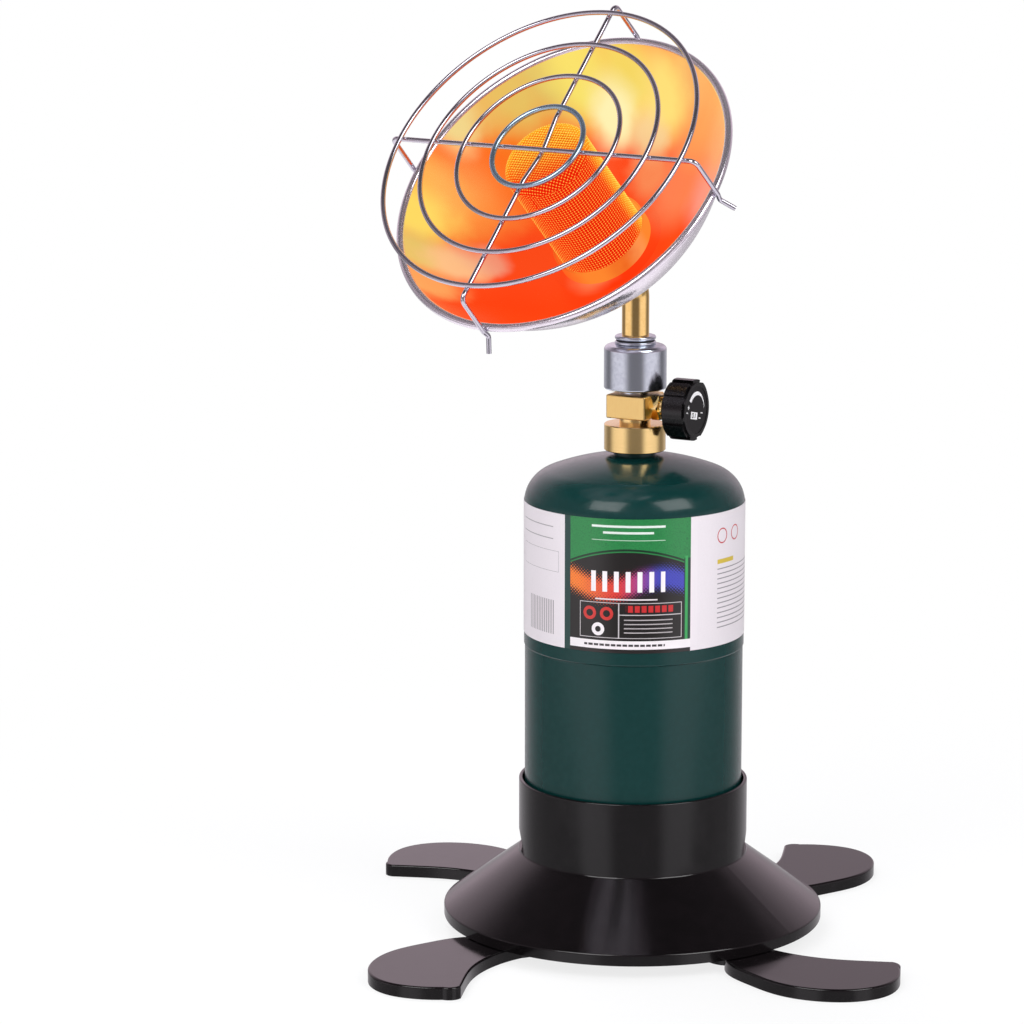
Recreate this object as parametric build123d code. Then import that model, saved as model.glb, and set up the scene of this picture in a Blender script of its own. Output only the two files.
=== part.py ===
"""Portable propane heater: dish heater screwed on a one-pound cylinder that stands in a four-footed base.

Millimetres, +Z up. The origin is on the floor, on the cylinder's axis. The dish faces -Y and up.
"""
from build123d import *
import os
from math import cos, radians, sin, sqrt, tan

# ---------------------------------------------------------------- driving dimensions
# Base: cup, skirt and feet
FOOT_THICK = 5.6
FOOT_COUNT = 4
FOOT_PHASE = -8.1            # turn of the first foot from +X, degrees
FOOT_PIN_X = 68.0            # pivot of a foot, in that foot's own frame (X radially outwards)
FOOT_PIN_Y = -8.0
FOOT_LOBE_R = 12.0           # round root of a foot about its pivot
FOOT_TRAILING_EDGE = ((16.0, -19.5), (32.0, -24.0), (51.0, -26.0), (69.0, -20.3), (82.0, -7.0), (85.0, 6.0),
                      (81.0, 19.0))       # leaf's outline from its pivot
FOOT_TIP = ((73.0, 29.0), (70.2, 32.5), (66.0, 33.0))
FOOT_LEADING_EDGE = ((56.0, 25.5), (43.0, 17.0), (27.0, 11.2))
FOOT_EDGE_ROUND = 0.9
FOOT_THRUST_GAP = 0.05       # between a foot's flat faces and what clamps them
SCREW_SHOULDER_R = 4.0
SCREW_FIT_GAP = 0.05         # radial running clearance of a foot on its shoulder screw
SCREW_HEAD_R = 7.0
SCREW_HEAD_H = 1.8
SCREW_HEAD_ROOM = 0.6        # radial room round a screw head in its counterbore
SCREW_THREAD_R = 2.4
SCREW_THREAD_LEN = 9.0
SCREW_SOCKET_AF = 4.0
SCREW_SOCKET_DEPTH = 1.1
SCREW_RECESS = 1.0           # screw head's face above the floor
SCREW_HEAD_CHAMFER = 0.4
BOSS_R = 8.0
RIM_R = 86.0
RIM_GAP = 0.4                # rim's lower edge above the feet
RIM_BAND_H = 4.8
RIM_EDGE_ROUND = 0.8
BASE_WALL = 1.7
CUP_GAP = 0.5                # radial room of the cylinder in its cup
COLLAR_FOOT_Z = 36.0
COLLAR_TOP_Z = 69.7
COLLAR_LIP_ROUND = 0.6
COLLAR_FOOT_ROUND = 0.8      # hollow corner where the collar meets the skirt
CUP_FLOOR_Z = 17.0
CUP_FLOOR_THICK = 2.4
CUP_DRAIN_R = 12.0
RIB_COUNT = 16
RIB_THICK = 1.8
RIB_DEPTH = 6.0              # rib's lower edge above the rim's lower edge
RIB_BITE = 0.4               # ribs and bosses run this far into the walls they stiffen
VENT_COUNT = 2
VENT_WIDTH = 26.0
VENT_HEIGHT = 9.0
VENT_REACH = 0.6             # vent's cut past the collar's outside

# Propane cylinder
SHELL_R = 49.6               # upper shell
SHELL_LAP_STEP = 0.4         # lower shell is this much smaller in radius
SHELL_WALL = 1.0
SHELL_LAP_Z = 131.7
SHELL_LAP_LEN = 8.0
SHELL_LAP_GAP = 0.05
DOME_TOP_Z = 218.7
DOME_CROWN_R = 110.0
DOME_KNUCKLE_R = 16.0
BOTTOM_Z = 22.5
BOTTOM_KNUCKLE_R = 13.0
FOOT_RING_R = 44.6
FOOT_RING_WALL = 1.4
LABEL_Z0 = 138.0
LABEL_Z1 = 198.0
LABEL_THICK = 0.15
NECK_R = 9.4
NECK_FLANGE_R = 14.0
NECK_FLANGE_H = 2.4
THREAD_R = 12.7              # 1 inch - 20 outlet thread
THREAD_PITCH = 1.27
THREAD_TURNS = 5.0
THREAD_CHAMFER = 0.8
THREAD_RUNOUT = 0.6          # plain neck below the thread
CORE_R = 4.2
CORE_DEPTH = 15.0
CORE_RECESS = 3.0            # core's face below the neck's face
CORE_CHAMBER_R = 3.1
CORE_PASSAGE_R = 1.8
CORE_SEAT_DROP = 6.0         # seat below the core's face
CORE_LIP = 1.0
POPPET_PIN_R = 1.4
POPPET_DISC_R = 2.7
POPPET_DISC_H = 1.2
POPPET_SEAT_GAP = 0.05
POPPET_PIN_RISE = 2.2        # poppet pin above the core's face
CORE_SPRING_WIRE_R = 0.25
CORE_SPRING_R = 2.1
CORE_SPRING_TURNS = 4

# Inlet connector and valve
RING_R = 13.8
RING_BOTTOM_Z = 220.4
RING_TOP_Z = 232.4
RING_CHAMFER = 0.8
THREAD_FIT_GAP = 0.05
GASKET_THICK = 1.8
GASKET_BORE_R = 6.2
GASKET_EDGE_GAP = 0.4
DEPRESSOR_DISC_R = 4.9
DEPRESSOR_DISC_H = 1.5
DEPRESSOR_PIN_R = 1.3
DEPRESSOR_GAP = 0.3          # depressor's tip above the poppet's pin
DEPRESSOR_HOLE_R = 0.45
FILTER_R = 3.0
FILTER_SHORT = 0.5           # filter's top below the spigot's end
CONNECTOR_NECK_R = 7.0
SPIGOT_R = 5.0
SPIGOT_LEN = 2.6
BLOCK_SIDE = 19.4
BLOCK_Z0 = 235.3
BLOCK_Z1 = 246.0
BLOCK_TURN = 7.9             # knob's axis from +X, degrees
BLOCK_EDGE_ROUND = 0.7
GAS_PASSAGE_R = 1.0
SEAT_PASSAGE_R = 0.8         # bore that the needle closes
GAS_INLET_X = 1.6            # along the knob's axis, from the block's centre
GAS_OUTLET_X = -2.5
STEM_R = 2.2
STEM_FIT_GAP = 0.05
STEM_SEAT_X = -1.0           # needle seat, along the knob's axis
NEEDLE_LEN = 1.2
NEEDLE_TIP_R = 0.4
NEEDLE_ROOT_R = 1.12
NEEDLE_SHOULDER = 1.0
GLAND_AF = 11.0
GLAND_THICK = 4.2
GLAND_COLLAR_R = 4.6
GLAND_COLLAR_LEN = 1.6
PACKING_H = 1.2
KNOB_BACK_X = 19.4
KNOB_DEPTH = 11.4
KNOB_R = 13.7
KNOB_FACE_R = 12.2
KNOB_LOBES = 8
KNOB_GROOVE_PHASE = 17.0     # turn of the first groove about the knob's axis, degrees
KNOB_GROOVE_W = 3.4
KNOB_GROOVE_DEPTH = 1.4
KNOB_CHAMFER = 0.9
KNOB_WALL = 1.8
KNOB_HUB_R = 6.0
KNOB_BORE_GAP = 0.05         # radial clearance of the knob's hub on the stem
KNOB_BORE_END_GAP = 0.1
DIAL_R = 10.6
DIAL_THICK = 0.8
DIAL_RECESS = 0.2
STEM_END_COVER = 0.5         # plastic between the stem's end and the dial

# Mixer: spider, jet, sleeve and tube
SPIDER_SPIGOT_R = 4.5
SPIDER_SPIGOT_LEN = 2.6
SPIDER_RELIEF_R = 3.6        # hollow under the spigot that the gas enters by
SPIDER_RELIEF_DEPTH = 0.8
SPIDER_HUB_R = 6.9
SPIDER_HUB_TOP_Z = 256.0
SPIDER_ARMS = 3
SPIDER_ARM_W = 4.0
SPIDER_ARM_Z0 = 249.5
SPIDER_ARM_Z1 = 253.0
SPIDER_BORE_R = 1.0
JET_THREAD_R = 2.5
JET_THREAD_LEN = 4.0
JET_HEX_AF = 7.0
JET_HEX_H = 2.0
JET_NOSE_R = 2.0
JET_NOSE_H = 1.2
JET_ORIFICE_R = 0.25
JET_ORIFICE_LEN = 0.5        # orifice's own length below the hexagon's top
SLEEVE_R = 14.0
SLEEVE_WALL = 1.2
SLEEVE_Z0 = 248.1
SLEEVE_EDGE_Z = 267.6        # where the side and the sloping top would meet
SLEEVE_TOP_Z = 268.3
SLEEVE_CROWN_R = 9.6
SLEEVE_SHOULDER_ROUND = 2.2
SLEEVE_EDGE_ROUND = 1.0
TUBE_R = 6.1
TUBE_WALL = 0.8
TUBE_BOTTOM_Z = 262.0
TUBE_BEND_R = 9.0
WASHER_R = 9.2
WASHER_H = 1.4
WASHER_EDGE_ROUND = 0.5
SEAL_R = 8.6
SEAL_H = 0.6
COLLAR_RING_H = 1.9
COLLAR_RING_ROUND = 0.85

# Dish, burner and guard, all on the dish's own axis (heights from the rim's plane)
ELBOW_Z = 293.0              # where the dish's axis meets the upright tube's axis
DISH_ELEVATION = 43.3        # dish axis above the horizon, degrees
DISH_REACH = 76.5            # elbow to rim plane
DISH_R = 80.0
DISH_SHEET = 0.8
DISH_BEAD_R = 1.8
DISH_EDGE_SET = 3.0          # bowl's inner edge inside the rim
DISH_DEPTH = 48.47           # lowest point of the bowl's sphere below the rim's plane
DISH_PAD_R = 27.0
SEAT_R = 22.0
SEAT_H = 7.5
SEAT_WALL = 1.0
SEAT_FLOOR = 1.2
SEAT_LIP_ROUND = 0.45
SEAT_SPIGOT_R = 8.6
SEAT_SPIGOT_LEN = 9.5
SEAT_HOLE_GAP = 0.1
BACK_WASHER_R = 16.0
BACK_WASHER_THICK = 1.0
LOCKNUT_AF = 24.0
LOCKNUT_THICK = 6.0
MESH_R = 19.5
MESH_THICK = 0.6
MESH_TOP_H = 18.0
MESH_SHOULDER_R = 4.0        # rounding between the mesh cap's top and its side
INNER_MESH_R = 15.5
INNER_MESH_DROP = 3.6        # inner mesh's top below the outer one's
IGNITION_HOLE_R = 4.0
IGNITION_HOLE_DROP = 9.0
GUARD_RISE = 6.3             # guard rings' plane above the burner's cap
GUARD_RING_SHARES = (0.27, 0.484, 0.705, 0.929)      # ring radii as shares of the dish's
GUARD_WIRE_R = 1.1
GUARD_INNER_WIRE_R = 1.25
WELD_SINK = 0.1              # crossed wires melted into each other
GUARD_SHOULDER_OUT = 0.4     # bend at the end of a cross wire, outside the dish's rim
GUARD_BEND_R = 3.0
GUARD_KINK_R = 2.0
GUARD_KINK_H = 0.5           # kink where a leg passes outside the dish's bead
GUARD_HOOK_H = -3.6
GUARD_HOOK_OUT = 0.3
GUARD_TIP_OUT = 5.6
GUARD_TIP_H = -9.0
JOGGLE_FLAT = 2.0
JOGGLE_RUN = 15.0

# Workshop habits
OVERCUT = 1.0                # cutters run this far past what they cut
SAME = 0.01                  # sizes closer than this are the same
HEX_BLUNTING = 0.985         # share of a hexagon's corner radius that is left
HEX_CHAMFER = 0.5

# ---------------------------------------------------------------- derived places
RIM_Z0 = FOOT_THICK + RIM_GAP
RIM_Z1 = RIM_Z0 + RIM_BAND_H
BOSS_Z0 = FOOT_THICK + FOOT_THRUST_GAP
CUP_R = SHELL_R + CUP_GAP
COLLAR_R = CUP_R + BASE_WALL
LOWER_SHELL_R = SHELL_R - SHELL_LAP_STEP
NECK_Z0 = RING_BOTTOM_Z + 0.5
NECK_TOP_Z = NECK_Z0 + THREAD_TURNS * THREAD_PITCH
GASKET_Z1 = NECK_TOP_Z + GASKET_THICK
CORE_TOP_Z = NECK_TOP_Z - CORE_RECESS
CORE_BOTTOM_Z = CORE_TOP_Z - CORE_DEPTH
POPPET_TOP_Z = CORE_TOP_Z + POPPET_PIN_RISE
STEM_Z = (BLOCK_Z0 + BLOCK_Z1) / 2
BLOCK_FACE_X = BLOCK_SIDE / 2
GLAND_X1 = BLOCK_FACE_X + GLAND_THICK
KNOB_FACE_X = KNOB_BACK_X + KNOB_DEPTH
STEM_END_X = KNOB_FACE_X - KNOB_WALL - DIAL_THICK - STEM_END_COVER
WASHER_Z1 = SLEEVE_TOP_Z + WASHER_H
SEAL_Z1 = WASHER_Z1 + SEAL_H
COLLAR_RING_Z1 = SEAL_Z1 + COLLAR_RING_H
DISH_BOWL_R = DISH_R - DISH_EDGE_SET
DISH_SPHERE_R = (DISH_BOWL_R ** 2 + DISH_DEPTH ** 2) / (2 * DISH_DEPTH)
BOWL_CENTRE_H = DISH_SPHERE_R - DISH_DEPTH
PAD_H = BOWL_CENTRE_H - sqrt(DISH_SPHERE_R ** 2 - DISH_PAD_R ** 2)
SEAT_FLOOR_H = PAD_H + SEAT_FLOOR
GUARD_H = MESH_TOP_H + GUARD_RISE
WIRE_H = GUARD_H - 2 * GUARD_WIRE_R + WELD_SINK
BEAD_CENTRE_R = DISH_R - DISH_BEAD_R
GUARD_RING_RADII = [DISH_R * share for share in GUARD_RING_SHARES]

DISH_AXIS = Vector(0, -cos(radians(DISH_ELEVATION)), sin(radians(DISH_ELEVATION)))
ELBOW = Vector(0, 0, ELBOW_Z)
DISH = Plane(origin=ELBOW + DISH_AXIS * DISH_REACH, x_dir=(1, 0, 0), z_dir=DISH_AXIS)
VALVE = Pos(0, 0, STEM_Z) * Rot(0, 0, BLOCK_TURN)        # X along the knob's axis, Z up
STEM = VALVE * Plane(origin=(0, 0, 0), x_dir=(0, 1, 0), z_dir=(1, 0, 0)).location


# ---------------------------------------------------------------- small helpers
def drum(radius, z0, z1):
    """Solid cylinder on the Z axis between two heights."""
    return Pos(0, 0, z0) * Cylinder(radius, z1 - z0, align=(Align.CENTER, Align.CENTER, Align.MIN))


def ring(outer, inner, z0, z1):
    """Plain round ring on the Z axis between two heights."""
    return drum(outer, z0, z1) - drum(inner, z0 - OVERCUT, z1 + OVERCUT)


def hex_bar(across_flats, z0, z1):
    """Hexagonal bar on the Z axis, with its corners broken."""
    corner_r = across_flats / sqrt(3)
    bar = Pos(0, 0, z0) * extrude(RegularPolygon(corner_r, 6), z1 - z0)
    blunt = drum(corner_r * HEX_BLUNTING, z0, z1)
    rims = blunt.edges().filter_by(GeomType.CIRCLE)
    return bar & chamfer(rims, min(HEX_CHAMFER, (z1 - z0) / 4))


def turned(*edges):
    """Solid of revolution about Z from closed edges drawn in the XZ plane."""
    return revolve(make_face(edges), Axis.Z)


def profile(*points):
    """Closed solid of revolution from straight-sided (radius, height) points."""
    return turned(Polyline(*[(r, 0, z) for r, z in points], close=True))


def outer_rims(solid):
    """Circular edges of the largest radius."""
    circles = solid.edges().filter_by(GeomType.CIRCLE)
    largest = max(edge.radius for edge in circles)
    return circles.filter_by(lambda edge: edge.radius > largest - SAME)


def rims_at(solid, height):
    """Circular edges at one height."""
    circles = solid.edges().filter_by(GeomType.CIRCLE)
    return circles.filter_by_position(Axis.Z, height - SAME, height + SAME)


def around(count, phase=0.0):
    """Evenly spaced turns about Z."""
    return [Rot(0, 0, phase + 360 * i / count) for i in range(count)]


# ---------------------------------------------------------------- base
def skirt_outline(inset):
    """Points of the skirt's flank, from its collar to its lower edge, set in by a wall."""
    slope = (COLLAR_FOOT_Z - RIM_Z1) / (RIM_R - COLLAR_R)
    drop = inset * sqrt(1 + slope ** 2)
    foot = (COLLAR_R - inset, COLLAR_FOOT_Z - drop + inset * slope)
    edge = (RIM_R - inset, RIM_Z1 - drop + inset * slope)
    return foot, edge


def base_shell():
    """Moulded cup for the cylinder with a conical skirt, rim band, vents, ribs and pivot bosses."""
    outer_foot, outer_edge = skirt_outline(0.0)
    inner_foot, inner_edge = skirt_outline(BASE_WALL)
    rim_inner = RIM_R - BASE_WALL
    wall = profile(
        (CUP_R, COLLAR_TOP_Z), (COLLAR_R, COLLAR_TOP_Z), outer_foot, outer_edge, (RIM_R, RIM_Z0),
        (rim_inner, RIM_Z0), (rim_inner, inner_edge[1]), (COLLAR_R, inner_foot[1]),
        (COLLAR_R, CUP_FLOOR_Z - CUP_FLOOR_THICK), (CUP_DRAIN_R, CUP_FLOOR_Z - CUP_FLOOR_THICK),
        (CUP_DRAIN_R, CUP_FLOOR_Z), (CUP_R, CUP_FLOOR_Z),
    )
    wall = fillet(rims_at(wall, COLLAR_TOP_Z), COLLAR_LIP_ROUND)
    wall = fillet(rims_at(wall, COLLAR_FOOT_Z), COLLAR_FOOT_ROUND)
    wall = fillet(rims_at(wall, RIM_Z1), RIM_EDGE_ROUND)
    bite_r = COLLAR_R - RIB_BITE
    reach_r = rim_inner + RIB_BITE
    under = profile(
        (bite_r, RIM_Z0), (reach_r, RIM_Z0), (reach_r, inner_edge[1]), (bite_r, inner_foot[1] + RIB_BITE),
    )
    rib_z0 = RIM_Z0 + RIB_DEPTH
    rib = Pos(RIM_R / 2, 0, rib_z0) * Box(RIM_R, RIB_THICK, COLLAR_FOOT_Z,
                                         align=(Align.CENTER, Align.CENTER, Align.MIN))
    boss = Pos(FOOT_PIN_X, FOOT_PIN_Y, 0) * drum(BOSS_R, BOSS_Z0, COLLAR_FOOT_Z)
    stiffening = [turn * rib & under for turn in around(RIB_COUNT, FOOT_PHASE + 180 / RIB_COUNT)]
    pad = under + profile((bite_r, BOSS_Z0), (rim_inner, BOSS_Z0), (rim_inner, RIM_Z0), (bite_r, RIM_Z0))
    bosses = [turn * boss & pad for turn in around(FOOT_COUNT, FOOT_PHASE)]
    shell = wall + stiffening + bosses
    pilot = Pos(FOOT_PIN_X, FOOT_PIN_Y, 0) * drum(SCREW_THREAD_R, 0, BOSS_Z0 + SCREW_THREAD_LEN)
    sill_z = COLLAR_FOOT_Z + COLLAR_FOOT_ROUND
    arch = Pos(0, 0, sill_z) * scale(Cylinder(1, 2 * RIM_R, rotation=(0, 90, 0)),
                                     by=(1, VENT_WIDTH / 2, VENT_HEIGHT))
    sagitta = CUP_R - sqrt(CUP_R ** 2 - (VENT_WIDTH / 2) ** 2)
    window = arch & Pos(CUP_R - sagitta - OVERCUT, 0, sill_z) * Box(
        BASE_WALL + sagitta + OVERCUT + VENT_REACH, VENT_WIDTH, 2 * VENT_HEIGHT,
        align=(Align.MIN, Align.CENTER, Align.MIN))
    cuts = [turn * pilot for turn in around(FOOT_COUNT, FOOT_PHASE)]
    cuts += [turn * window for turn in around(VENT_COUNT, FOOT_PHASE + 180 / FOOT_COUNT)]
    return shell - cuts


def foot():
    """Leaf-shaped swing-out foot in its own frame, root lobe about the pivot, tip curled forwards."""
    root_a = (FOOT_LOBE_R * cos(radians(60)), FOOT_LOBE_R * sin(radians(60)))
    root_b = (root_a[0], -root_a[1])
    tip_a, tip_round, tip_b = FOOT_TIP
    outline = [
        ThreePointArc(root_a, (-FOOT_LOBE_R, 0), root_b),
        Spline(root_b, *FOOT_TRAILING_EDGE, tip_a),
        ThreePointArc(tip_a, tip_round, tip_b),
        Spline(tip_b, *FOOT_LEADING_EDGE, root_a),
    ]
    blade = extrude(make_face(outline), FOOT_THICK)
    top_rim = blade.faces().sort_by(Axis.Z)[-1].edges()
    blade = fillet(top_rim, FOOT_EDGE_ROUND)
    seat_z = SCREW_RECESS + SCREW_HEAD_H + FOOT_THRUST_GAP
    bore = drum(SCREW_SHOULDER_R + SCREW_FIT_GAP, -OVERCUT, FOOT_THICK + OVERCUT)
    counterbore = drum(SCREW_HEAD_R + SCREW_HEAD_ROOM, -OVERCUT, seat_z)
    return Pos(FOOT_PIN_X, FOOT_PIN_Y, 0) * (blade - bore - counterbore)


def foot_screws():
    """Shoulder screws that the feet swing on, driven up into the base's bosses."""
    head_top = SCREW_RECESS + SCREW_HEAD_H
    screw = drum(SCREW_HEAD_R, SCREW_RECESS, head_top)
    screw = chamfer(screw.edges().filter_by(GeomType.CIRCLE).sort_by(Axis.Z)[0], SCREW_HEAD_CHAMFER)
    screw += drum(SCREW_SHOULDER_R, head_top, BOSS_Z0)
    screw += drum(SCREW_THREAD_R, BOSS_Z0, BOSS_Z0 + SCREW_THREAD_LEN)
    socket = extrude(RegularPolygon(SCREW_SOCKET_AF / sqrt(3), 6), SCREW_SOCKET_DEPTH)
    screw -= Pos(0, 0, SCREW_RECESS) * socket
    screw = Pos(FOOT_PIN_X, FOOT_PIN_Y, 0) * screw
    return Compound([turn * screw for turn in around(FOOT_COUNT, FOOT_PHASE)])


# ---------------------------------------------------------------- propane cylinder
def dome(inset):
    """Torispherical cap of the upper shell as edges from the wall's top to the axis, set in by a wall."""
    knuckle_r = DOME_KNUCKLE_R - inset
    crown_r = DOME_CROWN_R - inset
    crown_z = DOME_TOP_Z - DOME_CROWN_R
    knuckle_x = SHELL_R - DOME_KNUCKLE_R
    knuckle_z = crown_z + sqrt((DOME_CROWN_R - DOME_KNUCKLE_R) ** 2 - knuckle_x ** 2)
    away = Vector(knuckle_x, 0, knuckle_z - crown_z).normalized()
    wall_top = Vector(knuckle_x + knuckle_r, 0, knuckle_z)
    blend = Vector(0, 0, crown_z) + away * crown_r
    middle = (Vector(1, 0, 0) + away).normalized()
    on_knuckle = Vector(knuckle_x, 0, knuckle_z) + middle * knuckle_r
    apex = Vector(0, 0, crown_z + crown_r)
    on_crown = Vector(0, 0, crown_z) + (away + Vector(0, 0, 1)).normalized() * crown_r
    return wall_top, apex, [ThreePointArc(wall_top, on_knuckle, blend), ThreePointArc(blend, on_crown, apex)]


def upper_shell():
    """Drawn upper half of the cylinder: wall and dome, pierced for the neck."""
    outer_top, outer_apex, outer = dome(0.0)
    inner_top, inner_apex, inner = dome(SHELL_WALL)
    shell = turned(
        Line((SHELL_R, 0, SHELL_LAP_Z), outer_top), *outer, Line(outer_apex, inner_apex), *inner,
        Line(inner_top, (SHELL_R - SHELL_WALL, 0, SHELL_LAP_Z)),
        Line((SHELL_R - SHELL_WALL, 0, SHELL_LAP_Z), (SHELL_R, 0, SHELL_LAP_Z)),
    )
    return shell - drum(NECK_R, DOME_TOP_Z - DOME_KNUCKLE_R, DOME_TOP_Z + OVERCUT)


def lower_outline(inset):
    """Lower shell's outline from the axis to its top edge, set in by a wall, joggled under the lap."""
    radius = LOWER_SHELL_R - inset
    corner = BOTTOM_KNUCKLE_R - inset
    centre = Vector(LOWER_SHELL_R - BOTTOM_KNUCKLE_R, 0, BOTTOM_Z + BOTTOM_KNUCKLE_R)
    neck = SHELL_R - SHELL_WALL - SHELL_LAP_GAP - inset
    shoulder_z = SHELL_LAP_Z - inset
    low = Vector(centre.X, 0, BOTTOM_Z + inset)
    side = Vector(radius, 0, centre.Z)
    mid = centre + Vector(1, 0, -1).normalized() * corner
    top = Vector(neck, 0, SHELL_LAP_Z + SHELL_LAP_LEN)
    edges = [
        Line((0, 0, BOTTOM_Z + inset), low), ThreePointArc(low, mid, side),
        Line(side, (radius, 0, shoulder_z)), Line((radius, 0, shoulder_z), (neck, 0, shoulder_z)),
        Line((neck, 0, shoulder_z), top),
    ]
    return (0, 0, BOTTOM_Z + inset), top, edges


def lower_shell():
    """Drawn lower half of the cylinder, with a rounded bottom and an edge joggled to fit the upper half."""
    outer_low, outer_top, outer = lower_outline(0.0)
    inner_low, inner_top, inner = lower_outline(SHELL_WALL)
    return turned(*outer, *inner, Line(outer_top, inner_top), Line(outer_low, inner_low))


def cylinder_foot_ring():
    """Standing ring welded under the lower shell, cut to the shell's rounded bottom."""
    outer_low, outer_top, outer = lower_outline(0.0)
    solid_shell = turned(*outer, Line(outer_top, (0, 0, outer_top.Z)), Line((0, 0, outer_top.Z), outer_low))
    blank = ring(FOOT_RING_R, FOOT_RING_R - FOOT_RING_WALL, CUP_FLOOR_Z, BOTTOM_Z + BOTTOM_KNUCKLE_R)
    return (blank - solid_shell).solids().sort_by(Axis.Z)[0]


def label_wrap():
    """Printed band round the upper shell."""
    return ring(SHELL_R + LABEL_THICK, SHELL_R, LABEL_Z0, LABEL_Z1)


def cylinder_neck():
    """Threaded outlet of the cylinder, seated in the dome from inside, bored for the valve core."""
    under_z = DOME_TOP_Z - SHELL_WALL
    root_r = THREAD_R - THREAD_CHAMFER
    blank = profile(
        (CORE_R, under_z - NECK_FLANGE_H), (NECK_FLANGE_R, under_z - NECK_FLANGE_H), (NECK_FLANGE_R, under_z),
        (NECK_R, under_z), (NECK_R, NECK_Z0 - THREAD_RUNOUT), (root_r, NECK_Z0 - THREAD_RUNOUT),
        (THREAD_R, NECK_Z0 - THREAD_RUNOUT + THREAD_CHAMFER), (THREAD_R, NECK_TOP_Z - THREAD_CHAMFER),
        (root_r, NECK_TOP_Z), (CORE_R, NECK_TOP_Z),
    )
    return blank - upper_shell()


def core_body():
    """Valve core pressed in the neck: chamber for the poppet, seat above, lip below for its spring."""
    seat_z = CORE_TOP_Z - CORE_SEAT_DROP
    return profile(
        (CORE_R, CORE_BOTTOM_Z), (CORE_R, CORE_TOP_Z), (CORE_PASSAGE_R, CORE_TOP_Z), (CORE_PASSAGE_R, seat_z),
        (CORE_CHAMBER_R, seat_z), (CORE_CHAMBER_R, CORE_BOTTOM_Z + CORE_LIP),
        (CORE_PASSAGE_R, CORE_BOTTOM_Z + CORE_LIP), (CORE_PASSAGE_R, CORE_BOTTOM_Z),
    )


def poppet_levels():
    """Lower and upper face of the poppet's disc when it is closed on its seat."""
    disc_top = CORE_TOP_Z - CORE_SEAT_DROP - POPPET_SEAT_GAP
    return disc_top - POPPET_DISC_H, disc_top


def core_poppet():
    """Pin and disc that shut the cylinder when no heater is on it."""
    disc_low, disc_top = poppet_levels()
    pin = drum(POPPET_PIN_R, disc_top, POPPET_TOP_Z)
    return drum(POPPET_DISC_R, disc_low, disc_top) + pin


def core_spring():
    """Coil spring between the core's lip and the poppet's disc."""
    low = CORE_BOTTOM_Z + CORE_LIP + CORE_SPRING_WIRE_R
    high = poppet_levels()[0] - CORE_SPRING_WIRE_R
    path = Pos(0, 0, low) * Helix((high - low) / CORE_SPRING_TURNS, high - low, CORE_SPRING_R)
    section = Plane(origin=path @ 0, z_dir=path % 0) * Circle(CORE_SPRING_WIRE_R)
    return sweep(section, path, is_frenet=True)


# ---------------------------------------------------------------- connector and valve
def inlet_connector():
    """Brass ring nut with the female thread, one piece with the neck that is pressed in the block."""
    blank = drum(RING_R, RING_BOTTOM_Z, RING_TOP_Z)
    rims = blank.edges().filter_by(GeomType.CIRCLE)
    blank = chamfer(rims, RING_CHAMFER / 2)
    blank += drum(CONNECTOR_NECK_R, RING_TOP_Z, BLOCK_Z0)
    blank += drum(SPIGOT_R, BLOCK_Z0, BLOCK_Z0 + SPIGOT_LEN)
    disc_z = GASKET_Z1 + DEPRESSOR_DISC_H
    blank -= drum(THREAD_R + THREAD_FIT_GAP, RING_BOTTOM_Z - OVERCUT, GASKET_Z1)
    blank -= drum(DEPRESSOR_DISC_R, GASKET_Z1, disc_z)
    return blank - drum(FILTER_R, disc_z, BLOCK_Z0 + SPIGOT_LEN)


def inlet_gasket():
    """Flat rubber washer clamped between the cylinder's neck and the connector."""
    return ring(THREAD_R - GASKET_EDGE_GAP, GASKET_BORE_R, NECK_TOP_Z, GASKET_Z1)


def depressor():
    """Pierced disc with the pin that pushes the cylinder's poppet open."""
    disc = drum(DEPRESSOR_DISC_R, GASKET_Z1, GASKET_Z1 + DEPRESSOR_DISC_H)
    hole = Pos((DEPRESSOR_PIN_R + FILTER_R) / 2, 0, 0) * drum(
        DEPRESSOR_HOLE_R, GASKET_Z1 - OVERCUT, GASKET_Z1 + DEPRESSOR_DISC_H + OVERCUT)
    disc -= [turn * hole for turn in around(4)]
    return disc + drum(DEPRESSOR_PIN_R, POPPET_TOP_Z + DEPRESSOR_GAP, GASKET_Z1)


def inlet_filter():
    """Sintered filter plug in the connector's neck."""
    return drum(FILTER_R, GASKET_Z1 + DEPRESSOR_DISC_H, BLOCK_Z0 + SPIGOT_LEN - FILTER_SHORT)


def valve_block():
    """Square brass body, bored for its inlet, needle seat, stem and the jet's holder."""
    block = Box(BLOCK_SIDE, BLOCK_SIDE, BLOCK_Z1 - BLOCK_Z0)
    block = fillet(block.edges(), BLOCK_EDGE_ROUND)
    half = (BLOCK_Z1 - BLOCK_Z0) / 2
    stem_bore = STEM_R + STEM_FIT_GAP
    along = Plane(origin=(0, 0, 0), x_dir=(0, 1, 0), z_dir=(1, 0, 0)).location
    block -= drum(SPIGOT_R, -half - OVERCUT, -half + SPIGOT_LEN)
    block -= Pos(GAS_INLET_X, 0, 0) * drum(GAS_PASSAGE_R, -half + SPIGOT_LEN - OVERCUT, 0)
    block -= along * drum(stem_bore, STEM_SEAT_X, BLOCK_FACE_X + OVERCUT)
    block -= along * drum(SEAT_PASSAGE_R, GAS_OUTLET_X, STEM_SEAT_X + OVERCUT)
    block -= Pos(GAS_OUTLET_X, 0, 0) * drum(GAS_PASSAGE_R, -GAS_PASSAGE_R, half)
    block -= drum(SPIDER_SPIGOT_R, half - SPIDER_SPIGOT_LEN, half + OVERCUT)
    return VALVE * block


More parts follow.
